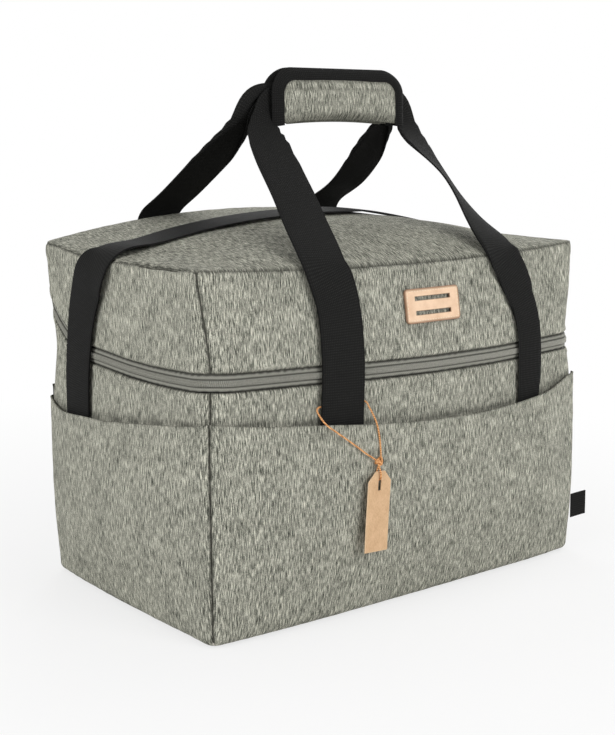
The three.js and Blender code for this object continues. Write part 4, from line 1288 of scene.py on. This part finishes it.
# %% The front handle
front_left = leg(
    "front", -95, WEB,
    [(-94, 194, WEB), (-93, 212, WEB), (-92, 230, WEB), (-92, 254, WEB), (-92, 277, WEB), (-94, 292, WEB),
     (-98.5, 305, WEB), (-104, 316, WEB)],
    [(-100, -130, 335, 0, WEB), (-94, -110, 350, 0, WEB), (-86, -82, 374, 0, WEB), (-81, -57, 396, 0, WEB),
     (-75, -34, 416, 0, 44), (-68, -15, 431, 0, 38), (-63, -5, 440, 0, 28)],
    -62, 1,
)
front_right = leg(
    "front", 142, 30,
    [(142, 194, 30), (142, 212, 30), (142, 230, 30), (141, 245, 30), (138, 259, 32), (133, 273, 35),
     (126, 290, 38), (117, 306, 40), (111, 316, 42)],
    [(112, -128, 333, 18, WEB), (113, -112, 345, 30, WEB), (115, -97, 357, 40, WEB), (117, -76, 374, 46, WEB),
     (116, -58, 391, 44, WEB), (114, -44, 403, 38, WEB), (114, -30, 415, 28, 44), (114, -15, 429, 14, 36),
     (114, -5, 439, 0, 27)],
    114, -1,
)
handle("front", front_left, front_right, 26)

# %% The back handle
back_left = leg(
    "back", -95, WEB,
    [(-95, 200, WEB), (-96, 230, WEB), (-97, 262, WEB), (-98, 292, WEB), (-98, 320, WEB), (-98, 342, WEB)],
    [(-96, 135, 354, 0, WEB), (-93, 121, 362, 0, WEB), (-90, 105, 372, 0, WEB), (-88, 88, 383, 0, WEB),
     (-84, 55, 405, 0, WEB), (-82, 40, 417, 0, 42), (-80, 23, 430, 0, 36), (-79, 9, 440, 0, 28)],
    -78, 1,
)
back_right = leg(
    "back", 142, WEB,
    [(140, 200, WEB), (136, 230, WEB), (130, 262, WEB), (123, 292, WEB), (116, 320, WEB), (113, 344, WEB)],
    [(113, 136, 356, 0, WEB), (112, 123, 362, 0, WEB), (112, 106, 369, 0, WEB), (112, 88, 378, 0, WEB),
     (108, 55, 402, 0, WEB), (103, 40, 415, 0, 42), (99, 23, 429, 0, 36), (98, 9, 440, 0, 28)],
    98, -1,
)
handle("back", back_left, back_right, 10)

# %% [markdown]
# ## Shoulder strap
# The shoulder strap starts in the left pocket, climbs the side, sweeps forward just before the lid's
# edge, stands off that edge in a soft arch and lies across the lid. On the right it runs down through
# a slide adjuster into the right pocket.

# %% The strap from pocket to pocket
TO_THE_FRONT = np.array([0, -1.0, 0])
HALF_SPAN = (230.0, 135.0)


def on_the_lid(x, y):
    height = lambda place: float(lid_height(x / HALF_SPAN[0], place / HALF_SPAN[1]))
    slope = height(y + 1) - height(y)
    return np.array([x, y, height(y) + 3.1]), unit(np.array([0, -1, -slope])), WEB


def up_the_side(wall, y, z, out):
    across = across_wall(wall, y, z, out)
    return on_wall(wall, y, z, out), -across * np.sign(across[1]), WEB


left_climb = [
    (72, 106, 1.2), (72, 145, 1.6), (72, 172, 2.4), (71, 200, 3.6), (67.5, 225, 4.2), (62.5, 245, 4.2),
    (57, 262, 4.2), (49, 278, 4.4), (40, 292, 4.8), (29, 305, 5.6),
]
left_arch = [(-233.5, 20, 314.5), (-228.5, 15, 324.5), (-213, 12.5, 331.5)]
right_climb = [(85, 106, 1.2), (85, 145, 1.6), (85, 172, 2.4)]
right_climb += [(85 - 11 * (z - 200) / 106, z, 4.1) for z in (200, 216, 233, 258, 284, 306)]
stations = [up_the_side("left", *spot) for spot in left_climb]
stations += [(np.array(place, float), TO_THE_FRONT, WEB) for place in left_arch]
for x in (-188, -150, -110, -65, -20, 25, 70, 110, 150, 180, 203):
    stations.append(on_the_lid(x, 12 + 62 * float(smooth(x, 0, 150))))
for x, z in ((222, 330), (229.5, 325.5), (232.5, 318)):
    stations.append((np.array([x, 74.0, z]), TO_THE_FRONT, WEB))
stations += [up_the_side("right", *spot) for spot in right_climb[::-1]]
shoulder = strap("shoulder_strap", stations, 4)
sewn = ["shoulder_strap_left_end", "shoulder_strap_over_lid", "shoulder_strap_right_end"]
dress(shoulder, webbing, "webbing", None, *sewn)
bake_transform(shoulder)

# %% [markdown]
# ## The padded wrap
# The wrap is two small pads joined by a strip under the handles. Its front pad is a flap that opens.
# A pad looks padded only when it has been filled, so each starts as a thin block with two round
# corners, is remeshed into even faces, and is blown up by Blender's Cloth with its edge held where
# the binding is sewn. The result is scaled to the thickness that the CAD gives.

# %% A block with rounded top corners, remeshed
WRAP_X = 26.0
WRAP_HALF = 81.0
WRAP_FOOT = 437.0
WRAP_TOP = 491.0
WRAP_RADIUS = 25.0


def pad_block(name, y_low, y_high):
    work = bmesh.new()
    bmesh.ops.create_cube(work, size=1.0)
    size = Vector((2 * WRAP_HALF - 3, y_high - y_low, WRAP_TOP - WRAP_FOOT - 1.5)) / 1000
    middle = Vector((WRAP_X, (y_low + y_high) / 2, (WRAP_TOP + WRAP_FOOT - 1.5) / 2)) / 1000
    bmesh.ops.scale(work, vec=size, verts=work.verts)
    bmesh.ops.translate(work, vec=middle, verts=work.verts)
    ends = [[v.co for v in edge.verts] for edge in work.edges]
    corners = [edge for edge, (a, b) in zip(work.edges, ends) if min(a.z, b.z) > middle.z and a.x == b.x]
    how = {"affect": "EDGES", "profile": 0.5, "material": -1}
    bmesh.ops.bevel(work, geom=corners, offset=WRAP_RADIUS / 1000, segments=10, **how)
    sharp = [e for e in work.edges if e.calc_face_angle(0) > 1.2]
    bmesh.ops.bevel(work, geom=sharp, offset=0.0022, segments=2, **how)
    piece = link_mesh(name, work, 80)
    remesh = piece.modifiers.new("even faces", "REMESH")
    remesh.mode = "VOXEL"
    remesh.voxel_size = 0.0024
    mesh = finished_mesh(piece)
    piece.modifiers.clear()
    piece.data = mesh
    return piece


def finished_mesh(piece):
    """The mesh of a piece with all its modifiers, or of a curve with its thickness."""
    graph = bpy.context.evaluated_depsgraph_get()
    return bpy.data.meshes.new_from_object(piece.evaluated_get(graph))


# %% How far a place lies inside the wrap's outline
def inside_wrap(x, z):
    side = WRAP_HALF - np.abs(x - WRAP_X)
    top = WRAP_TOP - z
    in_corner = (side < WRAP_RADIUS) & (top < WRAP_RADIUS)
    rounded = WRAP_RADIUS - np.hypot(WRAP_RADIUS - side, WRAP_RADIUS - top)
    return np.where(in_corner, rounded, np.minimum(side, top))


def coords(mesh):
    flat = np.empty(len(mesh.vertices) * 3)
    mesh.vertices.foreach_get("co", flat)
    return flat.reshape(-1, 3)


# %% Fill a pad by simulation
def blown(piece, held):
    """Where the vertices go when the piece is blown up with some of them held."""
    group = piece.vertex_groups.new(name="held")
    group.add([int(i) for i in np.flatnonzero(held)], 1.0, "ADD")
    cloth = piece.modifiers.new("fill", "CLOTH")
    cloth.settings.vertex_group_mass = "held"
    cloth.settings.use_pressure = True
    cloth.settings.uniform_pressure_force = 4
    cloth.settings.effector_weights.gravity = 0
    cloth.settings.quality = 4
    for step in range(1, 21):
        scene.frame_set(step)
    graph = bpy.context.evaluated_depsgraph_get()
    result = coords(piece.evaluated_get(graph).data).copy()
    piece.modifiers.remove(cloth)
    scene.frame_set(1)
    return result


def filled_pad(name, y_low, y_high, face, bulge):
    """face is -1 for a pad that swells to the front and 1 for one that swells to the back."""
    piece = pad_block(name, y_low, y_high)
    start = coords(piece.data)
    x, y, z = start.T * 1000
    depth = np.minimum(inside_wrap(x, z) - 8, z - WRAP_FOOT - 1)
    held = (depth < 0) | (face * (y - (y_low + y_high) / 2) < 0)
    dome = np.sqrt(np.clip(depth / 20, 0, 1)) * ~held
    moved = np.stack([0 * dome, face * dome, 0 * dome], -1)
    moved = blown(piece, held) - start
    print(name, "swelled by", round(float(np.abs(moved[:, 1]).max()) * 1000, 1), "mm before scaling")
    moved = moved * (bulge / 1000 / max(float(np.abs(moved[:, 1]).max()), 1e-6))
    return shape_pad(piece, start + moved, face)


# %% Lean the wrap's top in, arch its foot, and lay the weave on it
LEAN = 4.6
LEAN_HEIGHT = 21.0
FOOT_ARCH = 5.0
ARCH_HEIGHT = 40.0


def lean_in(places, face):
    """In millimetres: the top leans over the handles, and the lower edge arches up in the middle."""
    places = np.array(places, float)
    x, _, z = np.moveaxis(places, -1, 0)
    up = np.clip(1 - (WRAP_TOP - z) / LEAN_HEIGHT, 0, None) ** 2
    low = np.clip(1 - (z - WRAP_FOOT) / ARCH_HEIGHT, 0, 1) ** 2
    arch = FOOT_ARCH * low * (1 - np.clip((x - WRAP_X) / WRAP_HALF, -1, 1) ** 2)
    places[..., 1] -= face * LEAN * up
    places[..., 2] += arch
    return places


def shape_pad(piece, start, face):
    mesh = piece.data
    places = lean_in(start * 1000, face)
    mesh.vertices.foreach_set("co", (places / 1000).ravel())
    weave = mesh.uv_layers.new(name="weave")
    index = np.empty(len(mesh.loops), int)
    mesh.loops.foreach_get("vertex_index", index)
    weave.data.foreach_set("uv", (places[index][:, [0, 2]] / 1000).ravel())
    x, z = start[:, 0] * 1000, start[:, 2] * 1000
    # Painted shade on the pads: dark just inside the binding, darker towards the foot, and a faint line along
    # the seam across the pad.
    dark = np.maximum(0.8 * near(inside_wrap(x, z) - 11, 1.6), 0.45 * near(z - WRAP_FOOT, 9))
    dark = np.maximum(dark, 0.4 * near(z - 471, 1.3))
    mesh.attributes.new("shade", "FLOAT", "POINT").data.foreach_set("value", dark.astype(np.float32))
    mesh.polygons.foreach_set("use_smooth", [True] * len(mesh.polygons))
    finer = piece.modifiers.new("finer", "SUBSURF")
    finer.levels = 1
    finer.render_levels = 1
    return piece


flap = filled_pad("wrap_flap_pad", -10.4, -5.0, -1, 5.2)
dress(flap, melange, "melange", "wrap_flap", "grip_flap")
rest = filled_pad("wrap_back_pad", 3.9, 9.6, 1, 3.0)
dress(rest, melange, "melange", "back_handle", "grip_wrap")

# %% [markdown]
# ## Binding of the wrap
# A ribbed tape is folded over the edge of each pad, up one side, round the top and down the other. Its
# section is a narrow C, carried along the pad's outline.

# %% The outline and the C section
def wrap_outline():
    """From the right foot over the top to the left foot, as points in X and Z."""
    turn = np.linspace(0.08, math.pi / 2 - 0.08, 12)
    inner_x, inner_z = WRAP_HALF - WRAP_RADIUS, WRAP_TOP - WRAP_RADIUS
    right = [(WRAP_HALF, z) for z in np.linspace(WRAP_FOOT - 1, inner_z, 10)]
    right += [(inner_x + WRAP_RADIUS * math.cos(a), inner_z + WRAP_RADIUS * math.sin(a)) for a in turn]
    top = [(x, WRAP_TOP) for x in np.linspace(inner_x, 0, 14)]
    half = np.array(right + top)
    return np.concatenate([half, half[-2::-1] * [-1, 1]])


C_SECTION = [
    (11.5, -11.8), (7.0, -12.5), (3.0, -12.0), (0.3, -10.4), (-0.8, -8.4), (0.3, -6.6),
    (3.0, -4.9), (11.0, -4.4), (11.0, -5.1), (3.4, -5.8), (1.2, -7.1), (0.4, -8.4),
    (1.2, -9.8), (3.4, -11.0), (7.0, -11.6), (11.5, -11.0),
]


def wrap_binding(name, body, face, *nodes):
    flat = wrap_outline()
    ahead = unit(np.gradient(flat, axis=0))
    line = table(WRAP_X + flat[:, 0], 0.0, flat[:, 1])
    inwards = table(-ahead[:, 1], 0.0, ahead[:, 0])
    up = np.zeros_like(line) + [0, 1, 0]
    section = C_SECTION if face < 0 else [(side, -y - 1.2) for side, y in C_SECTION]
    piece = swept(name, line, inwards, up, section, warp=lambda places: lean_in(places, face))
    return dress(piece, ribbon, "webbing", body, *nodes)


wrap_binding("wrap_flap_binding", "wrap_flap", -1, "grip_binding")
wrap_binding("wrap_back_binding", "back_handle", 1)

# %% The strip under the handles and the hook strip inside the flap
SOLE_Z = 440.0
SOLE_ARCH = 4.6
x = np.linspace(85, -31, 50)[:, None]
share = np.linspace(0, 1, 13)[None, :]
arch = SOLE_ARCH * (1 - ((x - WRAP_X) / WRAP_HALF) ** 2)
places = table(x, 13.0 * share - 4.6, SOLE_Z + arch - 3.0 * np.sin(math.pi * share))
sole = laid_grid("wrap_sole", places, places[..., :2] / 1000, 0.5)
dress(ease_edges(thicken(sole, 1.6, 0), 0.4), melange, "melange", "back_handle")
low, high = box_of("grip_hook_strip")
x = np.linspace(low[0], high[0], 40)[:, None]
z = np.linspace(low[2], high[2], 9)[None, :]
places = table(x, low[1] + 0.2, z)
hooks = laid_grid("wrap_hook_strip", places, places[..., [0, 2]] / 1000)
dress(ease_edges(thicken(hooks, 0.7), 0.2), ribbon, "webbing", "wrap_flap", "grip_hook_strip")
print("the wrap has two pads, two bindings, a sole and a hook strip")

# %% [markdown]
# ## Leather lash tab
# A plate of tan leather is sewn to the front of the lid. A cord could be laced through its two slots.
# It is a grid whose lines fall on the edges of the slots, with the faces of the slots deleted, then
# rounded at its corners, laid on the wall and thickened. Edges of cut leather are darker than its face.

# %% A plate with slots
def slotted_plate(name, lines_a, lines_b, in_slot, place, dark):
    """A grid on given lines, without its faces in a slot. place turns (a, b) into a point."""
    places = np.array([[place(a, b) for b in lines_b] for a in lines_a])
    shade = np.array([[dark(a, b) for b in lines_b] for a in lines_a])
    cloth = table(np.array(lines_a)[:, None], np.array(lines_b)[None, :]) / 1000
    return laid_grid(name, places, cloth, shade, hole=in_slot, sharp=50)


def mirrored(half):
    """Lines on both sides of zero."""
    return [-a for a in half[::-1]] + [0] + half


def rounded_corner(a, b, half_a, half_b, radius):
    """Draws the corners of a rectangle in to a radius."""
    pa = max(0.0, abs(a) - (half_a - radius))
    pb = max(0.0, abs(b) - (half_b - radius))
    da = pa * (1 - math.sqrt(1 - pb**2 / (2 * radius**2)))
    db = pb * (1 - math.sqrt(1 - pa**2 / (2 * radius**2)))
    return a - math.copysign(da, a), b - math.copysign(db, b)


# %% The tab and its stitches
def leather_finish():
    f = Finish("leather", roughness=0.5, specular=0.3)
    pores = f.noise(f.on_object(), 900, 5, 0.7)
    cloud = f.noise(f.on_object(), 60, 4, 0.6)
    color = f.ramp(cloud * 0.8 + pores * 0.2, [(0.3, srgb(214, 178, 146)), (0.7, srgb(240, 210, 180))])
    color = f.mix(f.painted_shade_and_edge_tone() * 0.75, color, srgb(104, 66, 40))
    return f.show(color, pores, 0.0003, 0.3, pores * 0.3 + 0.38)


def thread_finish():
    f = Finish("thread", roughness=0.7)
    return f.show(f.mix(f.noise(f.on_object(), 2500, 2), srgb(224, 204, 176), srgb(244, 232, 214)))


leather = leather_finish()
thread = thread_finish()
TAB_X = 15.0
TAB_Z = 275.0
TAB_OUT = 3.4
TAB_HALF = (33.0, 15.5)
TAB_RADIUS = 4.0
TAB_RIM = 0.7
SLOT_HALF = (21.5, 1.8)
SLOT_MIDDLE = 6.5


def on_tab(a, b):
    a, b = rounded_corner(a, b, *TAB_HALF, TAB_RADIUS)
    return on_wall("front", TAB_X + a, TAB_Z + b, TAB_OUT)


def from_slot(a, b):
    """How far outside the nearest slot a place lies."""
    return max(abs(a) - SLOT_HALF[0], abs(abs(b) - SLOT_MIDDLE) - SLOT_HALF[1])


def tab_dark(a, b):
    """The cut edges round the tab and round both slots."""
    rim = max(abs(a) - TAB_HALF[0], abs(b) - TAB_HALF[1])
    return float(rim > -TAB_RIM or from_slot(a, b) < 0.01)


lines_a = mirrored([5.5, 11, 16, 21.0, 21.5, 22.1, 26, 29.5, 31.0, 32.4, 33.0])
lines_b = mirrored([2, 4.1, 4.7, 8.3, 8.9, 10.5, 13.0, 14.9, 15.5])
in_slot = lambda a, b: from_slot(a, b) < 0
tab = slotted_plate("lash_tab_leather", lines_a, lines_b, in_slot, on_tab, tab_dark)
dress(ease_edges(thicken(tab, 2.0), 0.5), leather, "leather", "lid", "lash_tab")


# %% Stitches round the tab
def stitches(name, line, length, gap, width):
    """Small rounded stitches along a closed line of points."""
    run = along(line)
    count = int(run[-1] / (length + gap))
    matrices = []
    for k in range(count):
        middle = run[-1] * (k + 0.5) / count
        before, place, after = read_off([middle - 0.4, middle, middle + 0.4], run, line)
        ahead = unit(after - before)
        out = unit(np.cross(ahead, np.cross([0, -1.0, 0], ahead)))
        matrices.append(bead(place, ahead, out, (length / 2, width / 2, width / 2)))
    return beads(name, matrices)


def tab_stitch_line():
    turn = np.linspace(0, 2 * math.pi, 160, endpoint=False)
    a = 30.6 * np.sign(np.cos(turn)) * np.abs(np.cos(turn)) ** 0.18
    b = 13.1 * np.sign(np.sin(turn)) * np.abs(np.sin(turn)) ** 0.18
    line = np.array([on_wall("front", TAB_X + p, TAB_Z + q, TAB_OUT + 0.1) for p, q in zip(a, b)])
    return np.concatenate([line, line[:1]])


dress(stitches("lash_tab_stitches", tab_stitch_line(), 2.2, 1.0, 0.6), thread, "leather", "lid")

# %% [markdown]
# ## The swing tag
# A kraft card hangs from the twine. Its shoulders are cut, a short slot takes the twine, and it hangs a
# little turned. The real one is printed. This one is left blank, because the part carries no lettering.

# %% The card
def card_finish():
    f = Finish("card", roughness=0.9)
    fibre = f.noise(f.on_object((1, 1, 0.3)), 1600, 4, 0.7)
    cloud = f.noise(f.on_object(), 90, 3)
    color = f.ramp(fibre * 0.7 + cloud * 0.3, [(0.3, srgb(186, 148, 110)), (0.7, srgb(224, 190, 152))])
    color = f.mix(f.painted_shade_and_edge_tone() * 0.5, color, srgb(232, 206, 172))
    return f.show(color, fibre, 0.0002, 0.3)


card = card_finish()
TAG_YAW = math.radians(9)
TAG_TILT = math.radians(6)
TAG_HALF = 15.0
TAG_SHOULDER = 126.0
TAG_CURL = 1.1
TAG_PLACE = (-63.5, -171.6, 122.0)
TAG_SLOT_HALF = 2
TAG_SLOT_FOOT = 117.7
TAG_SLOT_TOP = 128.7


def on_card(a, b):
    """a runs across the card and b up it. Its top corners are cut."""
    x, y, z = TAG_PLACE
    a = a * (1 - max(0.0, b - TAG_SHOULDER) / TAG_HALF)
    b = b - z
    across = a * math.cos(TAG_TILT) + b * math.sin(TAG_TILT)
    upwards = b * math.cos(TAG_TILT) - a * math.sin(TAG_TILT)
    curl = TAG_CURL * (upwards / 60) ** 2
    return x + across * math.cos(TAG_YAW), y + across * math.sin(TAG_YAW) - curl, z + upwards


lines_a = mirrored([TAG_SLOT_HALF, 4.5, 9, 14.4, 15])
lines_b = [63, 63.6, 70, 80, 90, 100, 110, TAG_SLOT_FOOT, 123, 126, TAG_SLOT_TOP, 131, 134.4, 135]
in_slot = lambda a, b: abs(a) < TAG_SLOT_HALF and TAG_SLOT_FOOT < b < TAG_SLOT_TOP
card_dark = lambda a, b: float(a in (lines_a[0], lines_a[-1]) or b in (lines_b[0], lines_b[-1]))
tag = slotted_plate("swing_card", lines_a, lines_b, in_slot, on_card, card_dark)
dress(ease_edges(thicken(tag, 1.0, 0), 0.2), card, "card", "tag", "swing_tag")


# %% The knot
KNOT_PLACE = (-64.0, -171.6, 143.8)
KNOT_TWINE = 0.0019


def make_knot():
    """Three turns of twine drawn tight round the loop's two strands."""
    rings = []
    angle = np.linspace(0, 2 * math.pi, 24, endpoint=False)
    for k, lean in enumerate((-0.5, 0.25, 0.95)):
        x = 3.0 * np.cos(angle) * math.cos(lean) - 1.1 * np.sin(angle) * math.sin(lean)
        y = 2.4 * np.sin(angle)
        z = 3.0 * np.cos(angle) * math.sin(lean) + 1.5 * np.sin(2 * angle + k)
        rings.append(table(x, y, z) + KNOT_PLACE)
    rope = round_curve("knot_curve", rings, KNOT_TWINE, closed=True)
    mesh = finished_mesh(rope)
    bpy.data.objects.remove(rope)
    mesh.polygons.foreach_set("use_smooth", [True] * len(mesh.polygons))
    piece = bpy.data.objects.new("twine_knot", mesh)
    scene.collection.objects.link(piece)
    return dress(piece, twine, "twine", "tag", "tag_knot")


make_knot()

# %% [markdown]
# ## Side label, sliders and adjuster
# The label is a woven tape, folded once and sewn into the front right seam. It is blank here. The zip's
# sliders, their pulls and the strap's adjuster are rigid and keep the CAD's shapes, with a worn dark
# metal on them.

# %% The label, and the finish of the metal parts
def metal_finish():
    f = Finish("metal", roughness=0.38, metallic=0.85, specular=0.5)
    wear = f.noise(f.on_object(), 700, 5, 0.65)
    color = f.mix(wear, (0.03, 0.03, 0.032), (0.085, 0.085, 0.088))
    return f.show(color, wear, 0.0002, 0.1, wear * 0.2 + 0.28)


FOLD = 0.6
low, high = box_of("side_label")
turn = np.linspace(-math.pi / 2, math.pi / 2, 9)
tip = high[0] - FOLD
there = np.linspace(low[0] - 2, tip, 14)[:-1]
beside = np.full(len(there), FOLD)
path_x = np.concatenate([there, tip + FOLD * np.cos(turn), there[::-1]])
path_y = np.concatenate([-beside, FOLD * np.sin(turn), beside])
path_y = path_y + (low[1] + high[1]) / 2 + 1.0 * np.sin((path_x - low[0]) / 14)
z = np.linspace(low[2], high[2], 12)[None, :]
places = table(path_x[:, None], path_y[:, None], z)
run = along(table(path_x, path_y))[:, None]
label = laid_grid("side_label_loop", places, table(run, z) / 1000)
dress(ease_edges(thicken(label, 0.5), 0.15), ribbon, "webbing", "bag", "side_label")

metal = metal_finish()
for node in ("zip_slider_front", "zip_slider_back", "pull_tab_front", "pull_tab_back", "strap_adjuster"):
    carry_over(node, metal, "metal")

# %% [markdown]
# ## Light and floor
# Studio light for a product is large and plain. Two broad lamps stand low in front of the two walls that
# the camera sees, so the walls are brighter than the lid. Two weaker ones stand behind, and a pale
# world fills the rest. The floor is pale and keeps the soft shadow. To the camera it fades to white
# away from the bag, so no horizon shows.

# %% Lamps and world
LAMP_AIM = 0.2
WORLD_FILL = 0.5


def lamp(name, place, size, power):
    data = bpy.data.lights.new(name, "AREA")
    data.shape = "DISK"
    data.size = size
    data.energy = power
    piece = bpy.data.objects.new(name, data)
    scene.collection.objects.link(piece)
    piece.location = place
    towards = Vector((0, 0, LAMP_AIM)) - Vector(place)
    piece.rotation_euler = towards.to_track_quat("-Z", "Y").to_euler()


def light_world():
    scene.world = bpy.data.worlds.new("studio")
    scene.world.use_nodes = True
    tree = Nodes(scene.world.node_tree)
    tree.tree.nodes.clear()
    rays = ("Is Camera Ray", "Is Glossy Ray", "Is Transmission Ray")
    camera, glossy, through = [tree.node("ShaderNodeLightPath", output=name) for name in rays]
    share = camera.larger(glossy).larger(through)
    fill = tree.node("ShaderNodeBackground", None, {"Color": (1.0, 1.0, 1.0), "Strength": WORLD_FILL})
    white = tree.node("ShaderNodeBackground", None, {"Color": (1.0, 1.0, 1.0), "Strength": 1.0})
    both = tree.node("ShaderNodeMixShader", None, {0: share, 1: fill, 2: white})
    tree.node("ShaderNodeOutputWorld", None, {"Surface": both})


light_world()
lamp("front lamp", (0.25, -1.7, 0.8), 1.0, 14.3)
lamp("left lamp", (-1.75, -0.2, 0.8), 1.0, 14.3)
lamp("back lamp", (0.9, 1.5, 0.9), 1.0, 10)
lamp("right lamp", (1.7, 0.1, 0.7), 1.0, 10)


# %% The floor
def lay_floor():
    work = bmesh.new()
    bmesh.ops.create_grid(work, x_segments=8, y_segments=8, size=9.0)
    bmesh.ops.translate(work, vec=(0, 0, -0.0008), verts=work.verts)
    floor = link_mesh("floor", work)
    f = Finish("floor", roughness=1.0, specular=0.0)
    f.show((0.86, 0.86, 0.86))
    far = f.node("ShaderNodeVectorMath", {"operation": "LENGTH"}, {0: f.on_object()}, 1)
    sockets = {"Value": far, "From Min": 0.3, "From Max": 1.0, "To Min": 0.7, "To Max": 1.0}
    fade = f.node("ShaderNodeMapRange", None, sockets)
    seen = f.node("ShaderNodeLightPath", output="Is Camera Ray")
    white = f.node("ShaderNodeEmission", None, {"Color": (1.0, 1.0, 1.0), "Strength": 1.0})
    surface = Wire(f, f.surface.outputs[0])
    both = f.node("ShaderNodeMixShader", None, {0: seen * fade, 1: surface, 2: white})
    f.tree.links.new(both.socket, f.tree.nodes["Material Output"].inputs["Surface"])
    floor.data.materials.append(f.material)
    floor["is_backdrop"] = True


lay_floor()

# %% [markdown]
# ## The size
# The visual model may stand a little proud of the CAD's box, as cloth does, but no more. Both boxes are
# put side by side, and the visual one is printed in millimetres.

# %% Work out the two boxes
low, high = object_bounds()
{"cad": [list(cad_low), list(cad_high)], "visual": [list(low), list(high)]}
print("visual box", [round(v * 1000, 1) for v in (*low, *high)])
